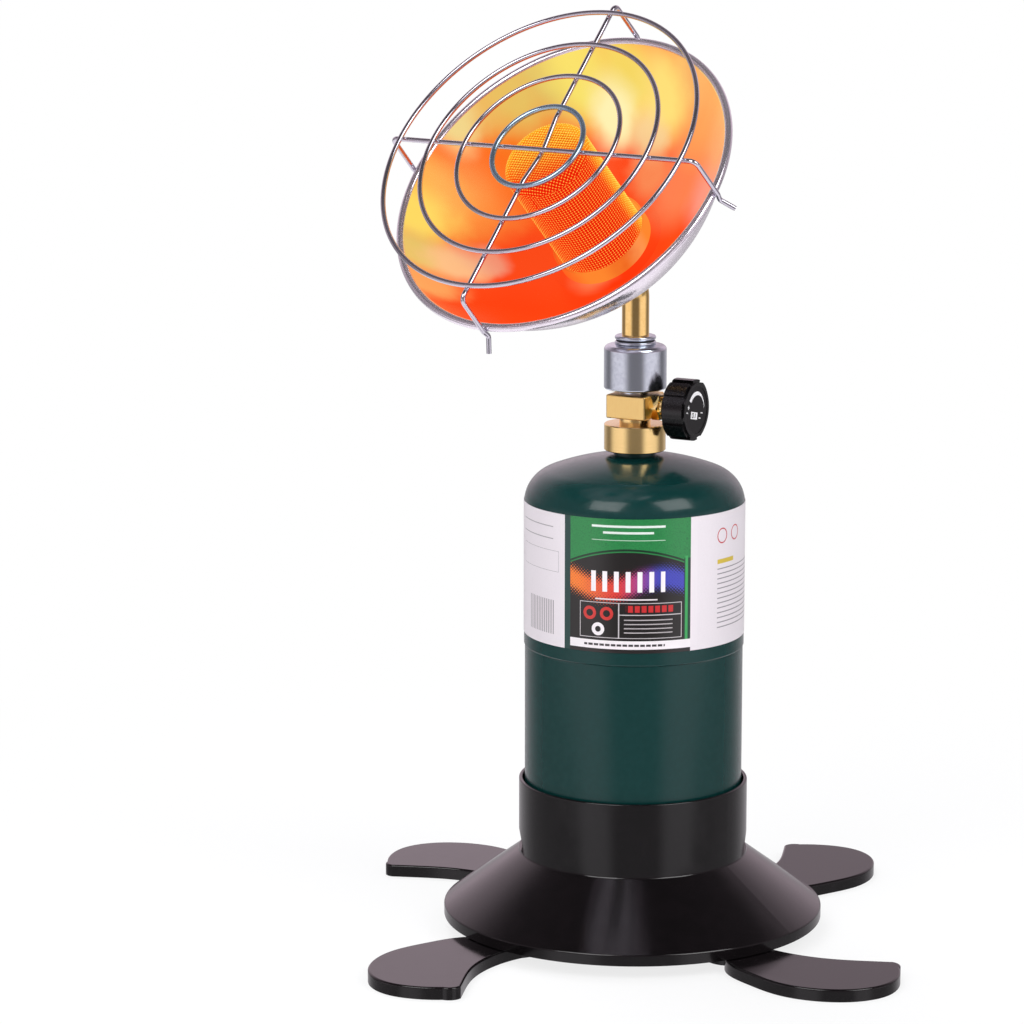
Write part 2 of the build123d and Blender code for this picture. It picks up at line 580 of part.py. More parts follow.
def gland_nut():
    """Hexagonal gland nut that holds the stem's packing against the block."""
    nut = hex_bar(GLAND_AF, BLOCK_FACE_X, GLAND_X1)
    nut += drum(GLAND_COLLAR_R, GLAND_X1, GLAND_X1 + GLAND_COLLAR_LEN)
    nut -= drum(STEM_R + STEM_FIT_GAP, BLOCK_FACE_X - OVERCUT, GLAND_X1 + GLAND_COLLAR_LEN + OVERCUT)
    return STEM * (nut - drum(GLAND_COLLAR_R, BLOCK_FACE_X - OVERCUT, BLOCK_FACE_X + PACKING_H))


def stem_packing():
    """Packing ring round the stem, in the gland nut's recess."""
    return STEM * ring(GLAND_COLLAR_R, STEM_R + STEM_FIT_GAP, BLOCK_FACE_X, BLOCK_FACE_X + PACKING_H)


def needle_stem():
    """Stem with the needle that closes the seat; the knob's hub is pushed on its outer end."""
    tip_x = STEM_SEAT_X - NEEDLE_LEN / 2
    shank_x = tip_x + NEEDLE_LEN
    return STEM * profile(
        (0, tip_x), (NEEDLE_TIP_R, tip_x), (NEEDLE_ROOT_R, shank_x), (STEM_R, shank_x + NEEDLE_SHOULDER),
        (STEM_R, STEM_END_X), (0, STEM_END_X),
    )


def knob():
    """Eight-lobed hand knob, hollow behind, with a hub on the stem and a recess for the dial."""
    grip = drum(KNOB_R, KNOB_BACK_X, KNOB_FACE_X)
    rims = grip.edges().filter_by(GeomType.CIRCLE)
    grip = chamfer(rims, KNOB_CHAMFER)
    groove = Pos(KNOB_R, 0, KNOB_BACK_X) * Box(
        2 * KNOB_GROOVE_DEPTH, KNOB_GROOVE_W, 2 * (KNOB_DEPTH + OVERCUT))
    grip -= [turn * groove for turn in around(KNOB_LOBES, KNOB_GROOVE_PHASE)]
    grip -= ring(KNOB_R + OVERCUT, KNOB_FACE_R, KNOB_FACE_X - KNOB_CHAMFER, KNOB_FACE_X + OVERCUT)
    cavity_r = KNOB_R - KNOB_GROOVE_DEPTH - KNOB_WALL
    floor_x = KNOB_FACE_X - KNOB_WALL - DIAL_THICK
    grip -= ring(cavity_r, KNOB_HUB_R, KNOB_BACK_X - OVERCUT, floor_x)
    grip -= drum(DIAL_R, KNOB_FACE_X - DIAL_THICK, KNOB_FACE_X + OVERCUT)
    return STEM * (grip - drum(STEM_R + KNOB_BORE_GAP, KNOB_BACK_X - OVERCUT, STEM_END_X + KNOB_BORE_END_GAP))


def knob_dial():
    """Printed disc let into the knob's face."""
    return STEM * drum(DIAL_R, KNOB_FACE_X - DIAL_THICK, KNOB_FACE_X - DIAL_RECESS)


# ---------------------------------------------------------------- mixer
def jet_holder():
    """Three-armed spider screwed in the block: carries the jet inside and the sleeve outside."""
    spider = drum(SPIDER_SPIGOT_R, BLOCK_Z1 - SPIDER_SPIGOT_LEN, BLOCK_Z1)
    spider += drum(SPIDER_HUB_R, BLOCK_Z1, SPIDER_HUB_TOP_Z)
    arm = Pos(0, 0, SPIDER_ARM_Z0) * Box(SLEEVE_R, SPIDER_ARM_W, SPIDER_ARM_Z1 - SPIDER_ARM_Z0,
                                         align=(Align.MIN, Align.CENTER, Align.MIN))
    spider += [turn * arm for turn in around(SPIDER_ARMS, BLOCK_TURN)]
    spider &= drum(SLEEVE_R - SLEEVE_WALL, BLOCK_Z1 - SPIDER_SPIGOT_LEN, SPIDER_HUB_TOP_Z)
    spigot_z = BLOCK_Z1 - SPIDER_SPIGOT_LEN
    spider -= drum(SPIDER_RELIEF_R, spigot_z - OVERCUT, spigot_z + SPIDER_RELIEF_DEPTH)
    spider -= drum(SPIDER_BORE_R, spigot_z - OVERCUT, SPIDER_HUB_TOP_Z)
    return spider - drum(JET_THREAD_R, SPIDER_HUB_TOP_Z - JET_THREAD_LEN, SPIDER_HUB_TOP_Z + OVERCUT)


def orifice_jet():
    """Gas jet screwed in the spider's hub."""
    hex_top = SPIDER_HUB_TOP_Z + JET_HEX_H
    jet = drum(JET_THREAD_R, SPIDER_HUB_TOP_Z - JET_THREAD_LEN, SPIDER_HUB_TOP_Z)
    jet += hex_bar(JET_HEX_AF, SPIDER_HUB_TOP_Z, hex_top)
    jet += drum(JET_NOSE_R, hex_top, hex_top + JET_NOSE_H)
    jet -= drum(SPIDER_BORE_R, SPIDER_HUB_TOP_Z - JET_THREAD_LEN - OVERCUT, hex_top - JET_ORIFICE_LEN)
    return jet - drum(JET_ORIFICE_R, hex_top - OVERCUT, hex_top + JET_NOSE_H + OVERCUT)


def mixer_sleeve():
    """Zinc-plated air sleeve, open below, drawn to a sloping shoulder round the tube."""
    inner = SLEEVE_R - SLEEVE_WALL
    sleeve = profile(
        (SLEEVE_R, SLEEVE_Z0), (SLEEVE_R, SLEEVE_EDGE_Z), (SLEEVE_CROWN_R, SLEEVE_TOP_Z),
        (TUBE_R, SLEEVE_TOP_Z), (TUBE_R, SLEEVE_TOP_Z - SLEEVE_WALL),
        (SLEEVE_CROWN_R, SLEEVE_TOP_Z - SLEEVE_WALL), (inner, SLEEVE_EDGE_Z - SLEEVE_WALL),
        (inner, SLEEVE_Z0),
    )
    sleeve = fillet(outer_rims(sleeve).sort_by(Axis.Z)[-1], SLEEVE_SHOULDER_ROUND)
    return fillet(outer_rims(sleeve).sort_by(Axis.Z)[0], SLEEVE_EDGE_ROUND)


def tube_stack():
    """Washer, seal and rolled collar that clamp the sleeve's top to the tube, lowest first."""
    washer = ring(WASHER_R, TUBE_R, SLEEVE_TOP_Z, WASHER_Z1)
    washer = fillet(outer_rims(washer), WASHER_EDGE_ROUND)
    seal = ring(SEAL_R, TUBE_R, WASHER_Z1, SEAL_Z1)
    collar = ring(WASHER_R, TUBE_R, SEAL_Z1, COLLAR_RING_Z1)
    collar = fillet(outer_rims(collar), COLLAR_RING_ROUND)
    return {"tube_washer": washer, "tube_seal": seal, "tube_collar": collar}


def mixing_tube():
    """Brass tube from the sleeve up and round to the burner's seat."""
    bend_set = TUBE_BEND_R * tan(radians((90 - DISH_ELEVATION) / 2))
    start = Vector(0, 0, TUBE_BOTTOM_Z)
    bend_in = ELBOW - Vector(0, 0, bend_set)
    bend_out = ELBOW + DISH_AXIS * bend_set
    end = ELBOW + DISH_AXIS * (DISH_REACH + SEAT_FLOOR_H)
    path = Wire([Line(start, bend_in), TangentArc(bend_in, bend_out, tangent=(0, 0, 1)), Line(bend_out, end)])
    section = Plane.XY.offset(TUBE_BOTTOM_Z) * (Circle(TUBE_R) - Circle(TUBE_R - TUBE_WALL))
    return sweep(section, path)


# ---------------------------------------------------------------- dish, burner, guard
def reflector():
    """Spun dish: spherical bowl with a flat pad in the middle and a rolled bead at the rim."""
    back_r = DISH_SPHERE_R + DISH_SHEET
    pad_back = PAD_H - DISH_SHEET
    back_rim_r = sqrt(back_r ** 2 - BOWL_CENTRE_H ** 2)
    back_pad_r = sqrt(back_r ** 2 - (BOWL_CENTRE_H - pad_back) ** 2)

    def on_bowl(radius, h):
        """Middle point of the arc between the rim and a lower point of a bowl surface."""
        rim = Vector(sqrt(radius ** 2 - BOWL_CENTRE_H ** 2), 0, -BOWL_CENTRE_H)
        low = Vector(sqrt(radius ** 2 - (BOWL_CENTRE_H - h) ** 2), 0, h - BOWL_CENTRE_H)
        return (rim + low).normalized() * radius + Vector(0, 0, BOWL_CENTRE_H)

    bowl = turned(
        ThreePointArc((DISH_BOWL_R, 0, 0), on_bowl(DISH_SPHERE_R, PAD_H), (DISH_PAD_R, 0, PAD_H)),
        Line((DISH_PAD_R, 0, PAD_H), (SEAT_SPIGOT_R + SEAT_HOLE_GAP, 0, PAD_H)),
        Line((SEAT_SPIGOT_R + SEAT_HOLE_GAP, 0, PAD_H), (SEAT_SPIGOT_R + SEAT_HOLE_GAP, 0, pad_back)),
        Line((SEAT_SPIGOT_R + SEAT_HOLE_GAP, 0, pad_back), (back_pad_r, 0, pad_back)),
        ThreePointArc((back_pad_r, 0, pad_back), on_bowl(back_r, pad_back), (back_rim_r, 0, 0)),
        Line((back_rim_r, 0, 0), (DISH_BOWL_R, 0, 0)),
    )
    bead = Torus(BEAD_CENTRE_R, DISH_BEAD_R)
    return DISH * (bowl + bead)


def burner_seat():
    """Shallow cup that holds the mesh, with a threaded spigot through the dish for the tube."""
    lip_h = PAD_H + SEAT_H
    seat = drum(SEAT_R, PAD_H, lip_h) - drum(SEAT_R - SEAT_WALL, SEAT_FLOOR_H, lip_h + OVERCUT)
    lip = seat.edges().filter_by(GeomType.CIRCLE).sort_by(Axis.Z)[-2:]
    seat = fillet(lip, SEAT_LIP_ROUND)
    seat += drum(SEAT_SPIGOT_R, PAD_H - SEAT_SPIGOT_LEN, PAD_H)
    return DISH * (seat - drum(TUBE_R, PAD_H - SEAT_SPIGOT_LEN - OVERCUT, SEAT_FLOOR_H + OVERCUT))


def back_washer():
    """Steel washer between the dish's back and the locknut."""
    back = PAD_H - DISH_SHEET
    return DISH * ring(BACK_WASHER_R, SEAT_SPIGOT_R, back - BACK_WASHER_THICK, back)


def locknut():
    """Hexagonal locknut that clamps the dish to the burner's seat."""
    top = PAD_H - DISH_SHEET - BACK_WASHER_THICK
    low = top - LOCKNUT_THICK
    return DISH * (hex_bar(LOCKNUT_AF, low, top) - drum(SEAT_SPIGOT_R, low - OVERCUT, top + OVERCUT))


def burner_mesh():
    """Outer mesh tube with its ignition hole, inner mesh tube, and the mesh cap over both."""
    cap_h = MESH_TOP_H - MESH_SHOULDER_R
    outer = ring(MESH_R, MESH_R - MESH_THICK, SEAT_FLOOR_H, cap_h)
    upright = (Align.CENTER, Align.CENTER, Align.MIN)
    hole = Cylinder(IGNITION_HOLE_R, MESH_R + OVERCUT, rotation=(-90, 0, 0), align=upright)
    hole = Pos(0, 0, MESH_TOP_H - IGNITION_HOLE_DROP) * hole
    outer -= hole
    inner_top = MESH_TOP_H - INNER_MESH_DROP
    inner = drum(INNER_MESH_R, SEAT_FLOOR_H, inner_top) - drum(
        INNER_MESH_R - MESH_THICK, SEAT_FLOOR_H - OVERCUT, inner_top - MESH_THICK)
    return {"burner_mesh": DISH * outer, "burner_inner_mesh": DISH * inner, "burner_cap": burner_cap()}


def burner_cap():
    """Round-shouldered mesh cap that closes the outer mesh tube."""
    flat_r = MESH_R - MESH_SHOULDER_R
    cap_h = MESH_TOP_H - MESH_SHOULDER_R
    inner_h = MESH_TOP_H - MESH_THICK

    def shoulder(radius):
        """Quarter circle from the cap's flat top to its side."""
        slant = radius * cos(radians(45))
        return ThreePointArc((flat_r, 0, cap_h + radius), (flat_r + slant, 0, cap_h + slant),
                             (flat_r + radius, 0, cap_h))

    return DISH * turned(
        Line((0, 0, MESH_TOP_H), (flat_r, 0, MESH_TOP_H)), shoulder(MESH_SHOULDER_R),
        Line((MESH_R, 0, cap_h), (MESH_R - MESH_THICK, 0, cap_h)), shoulder(MESH_SHOULDER_R - MESH_THICK),
        Line((flat_r, 0, inner_h), (0, 0, inner_h)), Line((0, 0, inner_h), (0, 0, MESH_TOP_H)),
    )


def guard_ring(radius):
    """One ring of the guard; the smallest is of heavier wire. All lie on the cross wires."""
    wire_r = GUARD_INNER_WIRE_R if radius == min(GUARD_RING_RADII) else GUARD_WIRE_R
    return DISH * Pos(0, 0, WIRE_H + GUARD_WIRE_R + wire_r - WELD_SINK) * Torus(radius, wire_r)


def guard_wire(turn, joggled):
    """Cross wire of the guard: straight span, shoulders, legs hooked behind the dish's bead, flared tips."""
    bead_s = DISH_R + GUARD_WIRE_R
    leg = [
        (DISH_R + GUARD_SHOULDER_OUT, WIRE_H), (bead_s, GUARD_KINK_H),
        (DISH_R + GUARD_HOOK_OUT, GUARD_HOOK_H), (DISH_R + GUARD_TIP_OUT, GUARD_TIP_H),
    ]
    radii = [GUARD_BEND_R, GUARD_KINK_R, GUARD_KINK_R]
    span = []
    span_radii = []
    if joggled:
        dip = WIRE_H - 2 * GUARD_WIRE_R
        outer_s = JOGGLE_FLAT + JOGGLE_RUN
        span = [(-outer_s, WIRE_H), (-JOGGLE_FLAT, dip), (JOGGLE_FLAT, dip), (outer_s, WIRE_H)]
        span_radii = [GUARD_BEND_R] * len(span)
    far_leg = [(-s, h) for s, h in reversed(leg)]
    points = [(s, 0, h) for s, h in far_leg + span + leg]
    path = FilletPolyline(*points, radius=radii[::-1] + span_radii + radii)
    section = Plane(origin=path @ 0, z_dir=path % 0) * Circle(GUARD_WIRE_R)
    return DISH * Rot(0, 0, turn) * sweep(section, path, transition=Transition.RIGHT)


# ---------------------------------------------------------------- the whole set
def build():
    """All sub-parts by node name."""
    parts = {"base_shell": base_shell(), "foot_screws": foot_screws()}
    leaf = foot()
    for number, turn in enumerate(around(FOOT_COUNT, FOOT_PHASE), start=1):
        parts[f"foot_{number}"] = turn * leaf
    parts.update(
        cylinder_lower_shell=lower_shell(), cylinder_upper_shell=upper_shell(),
        cylinder_foot_ring=cylinder_foot_ring(), label_wrap=label_wrap(), cylinder_neck=cylinder_neck(),
        core_body=core_body(), core_poppet=core_poppet(), core_spring=core_spring(),
        inlet_connector=inlet_connector(), inlet_gasket=inlet_gasket(), depressor=depressor(),
        inlet_filter=inlet_filter(), valve_block=valve_block(), gland_nut=gland_nut(),
        stem_packing=stem_packing(), needle_stem=needle_stem(), knob=knob(), knob_dial=knob_dial(),
        jet_holder=jet_holder(), orifice_jet=orifice_jet(), mixer_sleeve=mixer_sleeve(),
        mixing_tube=mixing_tube(), reflector=reflector(), burner_seat=burner_seat(),
        back_washer=back_washer(), locknut=locknut(),
    )
    parts.update(tube_stack())
    parts.update(burner_mesh())
    for number, radius in enumerate(GUARD_RING_RADII, start=1):
        parts[f"guard_ring_{number}"] = guard_ring(radius)
    parts["guard_wire_level"] = guard_wire(0, joggled=False)
    parts["guard_wire_upright"] = guard_wire(90, joggled=True)
    return parts


os.makedirs("parts", exist_ok=True)
for node, shape in build().items():
    export_step(shape, f"parts/{node}.step")
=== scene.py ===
"""Looks of the portable propane heater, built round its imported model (metres, +Z up, dish facing -Y)."""
import logging
import math
from dataclasses import dataclass, field
from enum import Enum

import bmesh
import bpy
from mathutils import Matrix, Vector


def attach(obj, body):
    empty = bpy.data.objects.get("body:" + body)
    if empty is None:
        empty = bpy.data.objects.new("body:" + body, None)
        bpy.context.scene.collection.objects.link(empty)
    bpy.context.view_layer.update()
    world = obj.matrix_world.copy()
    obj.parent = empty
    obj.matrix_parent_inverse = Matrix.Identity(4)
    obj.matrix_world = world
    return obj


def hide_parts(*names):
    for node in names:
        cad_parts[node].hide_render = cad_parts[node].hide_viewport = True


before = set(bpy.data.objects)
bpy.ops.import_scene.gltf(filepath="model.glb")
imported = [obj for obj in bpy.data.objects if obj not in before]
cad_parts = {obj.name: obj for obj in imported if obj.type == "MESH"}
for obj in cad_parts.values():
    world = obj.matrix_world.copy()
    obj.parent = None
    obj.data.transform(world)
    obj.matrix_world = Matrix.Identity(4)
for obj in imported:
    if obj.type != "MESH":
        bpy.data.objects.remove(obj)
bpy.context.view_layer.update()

Tree = bpy.types.NodeTree
Node = bpy.types.Node
Socket = bpy.types.NodeSocket
Source = Node | Socket | float | tuple       # what a node's input takes
Points = list[tuple[float, float]]           # radius and height, mm
Slope = tuple[float, ...]                    # where a smooth change starts and ends, and its values there

MM = 0.001
WHITE = "ffffff"
VIEW_AZIMUTH = -54.85                        # side that the label and the camera share, degrees from +X
DISH_TURN = math.radians(46.7)               # dish's axis leans this far from +Z towards -Y
DISH_ORIGIN = Vector((0.0, -55.68, 345.46))  # middle of the rim's plane, mm
STEM_Z = 240.65                              # height of the stem's axis, mm
KNOB_TURN = math.radians(7.9)                # stem's axis, from +X
DIAL_TURN = math.radians(-12.0)              # dial's marks, round the stem's axis
MERGE_MM = 0.002                             # corners nearer than this are one
SLIVER_MM = 0.0005                           # edges shorter than this are dropped
CORNER = math.radians(32)                    # a spun piece's edges bent more than this are rounded
SHARP = math.radians(40)                     # edges bent more than this stay sharp
SMOOTH = {"interpolation_type": "SMOOTHSTEP"}    # a change that eases in and out
TINT_SPAN = (0.35, 0.7)                      # noise values over which a grain's colour changes
GLOSS_SPAN = (0.3, 0.7)                      # and its gloss

DISH = Matrix.Translation(DISH_ORIGIN * MM) @ Matrix.Rotation(DISH_TURN, 4, "X")
log = logging.getLogger("heater")


# ---------------------------------------------------------------- shared tools
def linear(colour: str) -> tuple[float, ...]:
    """Turn an sRGB hex colour into linear RGBA.

    Args:
        colour: six hex digits.

    Returns:
        The linear colour, opaque.
    """
    parts = [int(colour[i:i + 2], 16) / 255 for i in (0, 2, 4)]
    return (*[c / 12.92 if c <= 0.04045 else ((c + 0.055) / 1.055) ** 2.4 for c in parts], 1.0)


def feed(tree: Tree, node: Node, inputs: dict | list | tuple) -> None:
    """Set or link a node's inputs.

    Args:
        tree: the node tree.
        node: the node to feed.
        inputs: values, outputs, or nodes that give their first open output, in order or by name or number.
    """
    for key, source in inputs.items() if isinstance(inputs, dict) else enumerate(inputs):
        if isinstance(source, Node):
            source = next(out for out in source.outputs if out.enabled)
        if isinstance(source, Socket):
            tree.links.new(source, node.inputs[key])
        else:
            node.inputs[key].default_value = source


def add_node(tree: Tree, kind: str, inputs: dict | list | tuple = (), **settings) -> Node:
    """Add a shader node with its settings, values and links.

    Args:
        tree: the node tree.
        kind: the node's type without its ShaderNode prefix.
        inputs: what feeds it, as feed() takes it.
        settings: the node's own properties.

    Returns:
        The new node.
    """
    node = tree.nodes.new("ShaderNode" + kind)
    for name, value in settings.items():
        setattr(node, name, value)
    feed(tree, node, inputs)
    return node


def local_axes(tree: Tree, place: Matrix) -> tuple[Socket, ...]:
    """Object coordinates in a piece's own frame, in millimetres.

    Args:
        tree: the node tree.
        place: the frame's place, metres.

    Returns:
        The X, Y and Z sockets.
    """
    inverse = place.inverted()
    coords = add_node(tree, "TexCoord").outputs["Object"]
    turned = add_node(tree, "Mapping", {"Vector": coords, "Location": inverse.to_translation() / MM,
                                        "Rotation": inverse.to_euler(), "Scale": (1 / MM,) * 3})
    return tuple(add_node(tree, "SeparateXYZ", (turned,)).outputs)


def arc(centre: tuple[float, float], radius: float, start: float, end: float, count: int) -> Points:
    """Points along an arc of a profile.

    Args:
        centre: its centre, as radius and height, mm.
        radius: its radius, mm.
        start: first angle, degrees from outwards.
        end: last angle, degrees.
        count: number of points.

    Returns:
        The points, mm.
    """
    steps = [math.radians(start + (end - start) * i / (count - 1)) for i in range(count)]
    return [(centre[0] + radius * math.cos(a), centre[1] + radius * math.sin(a)) for a in steps]


def finish_mesh(name: str, bm: bmesh.types.BMesh, place: Matrix) -> bpy.types.Object:
    """Clean a bmesh, shade it smooth and make it an object at the origin.

    Args:
        name: the piece's name.
        bm: the shape, freed here.
        place: where the shape goes.

    Returns:
        The new object.
    """
    bmesh.ops.remove_doubles(bm, verts=bm.verts, dist=MERGE_MM * MM)
    bmesh.ops.dissolve_degenerate(bm, edges=bm.edges, dist=SLIVER_MM * MM)
    bmesh.ops.recalc_face_normals(bm, faces=bm.faces)
    bmesh.ops.transform(bm, matrix=place, verts=bm.verts)
    for face in bm.faces:
        face.smooth = True
    for edge in bm.edges:
        edge.smooth = not edge.is_manifold or edge.calc_face_angle() < SHARP
    mesh = bpy.data.meshes.new(name)
    bm.to_mesh(mesh)
    bm.free()
    piece = bpy.data.objects.new(name, mesh)
    bpy.context.scene.collection.objects.link(piece)
    return piece


def lathe(name: str, profile: Points, place: Matrix = Matrix(), steps: int = 180,
          rounding: float = 0.0) -> bpy.types.Object:
    """Spin a closed profile round Z and round its hard corners.

    Args:
        name: the piece's name.
        profile: closed outline as radius and height, mm.
        place: where the piece goes.
        steps: faces round the turn.
        rounding: radius of the corners, mm.

    Returns:
        The new object.
    """
    bm = bmesh.new()
    points = [bm.verts.new((r * MM, 0, z * MM)) for r, z in profile]
    lines = [bm.edges.new((a, b)) for a, b in zip(points, points[1:] + points[:1])]
    bmesh.ops.spin(bm, geom=points + lines, cent=(0, 0, 0), axis=(0, 0, 1), angle=math.tau, steps=steps,
                   use_merge=True)
    bmesh.ops.remove_doubles(bm, verts=bm.verts, dist=MERGE_MM * MM)
    bmesh.ops.recalc_face_normals(bm, faces=bm.faces)
    if rounding:
        corners = [e for e in bm.edges if e.is_manifold and e.calc_face_angle() > CORNER]
        bmesh.ops.bevel(bm, geom=corners, offset=rounding * MM, segments=3, profile=0.5,
                        affect="EDGES", material=-1)
    piece = finish_mesh(name, bm, place)
    piece.modifiers.new("even shading", "WEIGHTED_NORMAL").keep_sharp = True
    return piece


def install(piece: bpy.types.Object, finish: "Finish", body: str, slot: str, *nodes: str) -> None:
    """Dress a new piece, set it on its body and let it stand for its CAD nodes.

    Args:
        piece: the new piece.
        finish: its surface finish.
        body: the body it rides on.
        slot: not used.
        nodes: CAD nodes that it replaces.
    """
    piece.data.materials.clear()
    piece.data.materials.append(finish.material())
    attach(piece, body)
    if nodes:
        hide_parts(*nodes)
    log.info("built %s for %s", piece.name, ", ".join(nodes) or body)


def dress(finish: "Finish", *nodes: str) -> None:
    """Give CAD nodes a finish.

    Args:
        finish: the surface finish.
        nodes: names of the CAD nodes.
    """
    for name in nodes:
        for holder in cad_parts[name].material_slots:
            holder.material = finish.material()
        log.info("dressed %s in %s", name, finish.name)


# ---------------------------------------------------------------- finishes
@dataclass(frozen=True)
class Finish:
    """A surface: its colour and gloss, with a fine grain that changes colour, gloss and relief.

    The grain is noise of grain_mm, stretched by lay, in the frame given by place.
    """

    name: str
    colour: str
    roughness: float
    metallic: float = 0.0
    ior: float = 1.5
    specular: float = 0.5
    coat: float = 0.0
    coat_roughness: float = 0.05
    grain_mm: float = 1.0
    lay: tuple[float, float, float] = (1.0, 1.0, 1.0)
    place: Matrix = field(default_factory=Matrix)
    shade: str = ""
    shade_amount: float = 0.25
    gloss_swing: float = 0.08
    relief_mm: float = 0.0

    def material(self) -> bpy.types.Material:
        """Return the finish's material, made on first use."""
        known = bpy.data.materials.get(self.name)
        return known or self.make()

    def make(self) -> bpy.types.Material:
        """Make the material: a principled shader and its patterns."""
        material = bpy.data.materials.new(self.name)
        material.use_nodes = True
        tree = material.node_tree
        tree.nodes.clear()
        shader = add_node(tree, "BsdfPrincipled", {
            "Base Color": linear(self.colour), "Roughness": self.roughness, "Metallic": self.metallic,
            "Coat Weight": self.coat, "Coat Roughness": self.coat_roughness,
            "Specular IOR Level": self.specular})
        if not self.metallic:
            shader.inputs["IOR"].default_value = self.ior
        add_node(tree, "OutputMaterial", {"Surface": shader})
        self.pattern(tree, shader)
        return material

    def grain(self, tree: Tree, size_mm: float, detail: float = 3.0) -> Node:
        """Noise along the finish's lay.

        Args:
            tree: the node tree.
            size_mm: size of one grain.
            detail: octaves of finer noise.

        Returns:
            The noise node.
        """
        axes = [add_node(tree, "Math", (axis, stretch / size_mm), operation="MULTIPLY")
                for axis, stretch in zip(local_axes(tree, self.place), self.lay)]
        place = add_node(tree, "CombineXYZ", axes)
        return add_node(tree, "TexNoise", {"Vector": place, "Scale": 1.0, "Detail": detail})

    def pattern(self, tree: Tree, shader: Node) -> None:
        """Link colour, gloss and relief to the grain.

        Args:
            tree: the node tree.
            shader: the principled shader.
        """
        value = self.grain(tree, self.grain_mm)
        amount = add_node(tree, "MapRange", (value, *TINT_SPAN, 0.0, self.shade_amount), **SMOOTH)
        colour = add_node(tree, "Mix", {0: amount, 6: linear(self.colour),
                                        7: linear(self.shade or self.colour)}, data_type="RGBA")
        low, high = self.roughness - self.gloss_swing / 2, self.roughness + self.gloss_swing / 2
        gloss = add_node(tree, "MapRange", (value, *GLOSS_SPAN, low, high), **SMOOTH)
        feed(tree, shader, {"Base Color": colour, "Roughness": gloss})
        if self.relief_mm:
            bump = add_node(tree, "Bump", {"Height": value, "Distance": self.relief_mm * MM, "Strength": 1.0})
            feed(tree, shader, {"Normal": bump})


@dataclass(frozen=True)
class PaintedGlowPatch:
    """A soft-edged patch of painted glow in the dish, placed in the dish's own plane, mm."""

    u: float
    v: float
    reach: float
    colour: str
    strength: float = 1.0


@dataclass(frozen=True)
class PaintedGlowDish(Finish):
    """Polished steel with a painted glow: the burner's light shown as soft emitting patches of yellow, orange
    and red.
    """

    patches: tuple[PaintedGlowPatch, ...] = ()
    warm: str = "fe4410"
    glow: float = 0.85
    glow_from_mm: float = -60.0      # nothing shines below this height in the dish's frame
    drift_mm: float = 16.0           # how far the patches' edges wander
    drift_grain_mm: float = 22.0
    full_share: float = 0.25         # part of a patch's reach that has its full colour

    def pattern(self, tree: Tree, shader: Node) -> None:
        """Lay the painted glow's patches over each other and let them shine.

        Args:
            tree: the node tree.
            shader: the principled shader.
        """
        super().pattern(tree, shader)
        u, v, height = local_axes(tree, DISH)
        swing = add_node(tree, "Math", (self.grain(tree, self.drift_grain_mm), 0.5), operation="SUBTRACT")
        drift = add_node(tree, "Math", (swing, self.drift_mm), operation="MULTIPLY")
        spot = add_node(tree, "CombineXYZ", (add_node(tree, "Math", (u, drift), operation="ADD"), v))
        colour = linear(self.warm)
        for patch in self.patches:
            gap = add_node(tree, "VectorMath", (spot, (patch.u, patch.v, 0)), operation="DISTANCE")
            amount = add_node(tree, "MapRange", (gap, patch.reach * self.full_share, patch.reach,
                                                 patch.strength, 0.0), **SMOOTH)
            colour = add_node(tree, "Mix", {0: amount, 6: colour, 7: linear(patch.colour)}, data_type="RGBA")
        strength = add_node(tree, "MapRange", (height, self.glow_from_mm, self.glow_from_mm + 1.0,
                                               0.0, self.glow), **SMOOTH)
        feed(tree, shader, {"Emission Color": colour, "Emission Strength": strength})


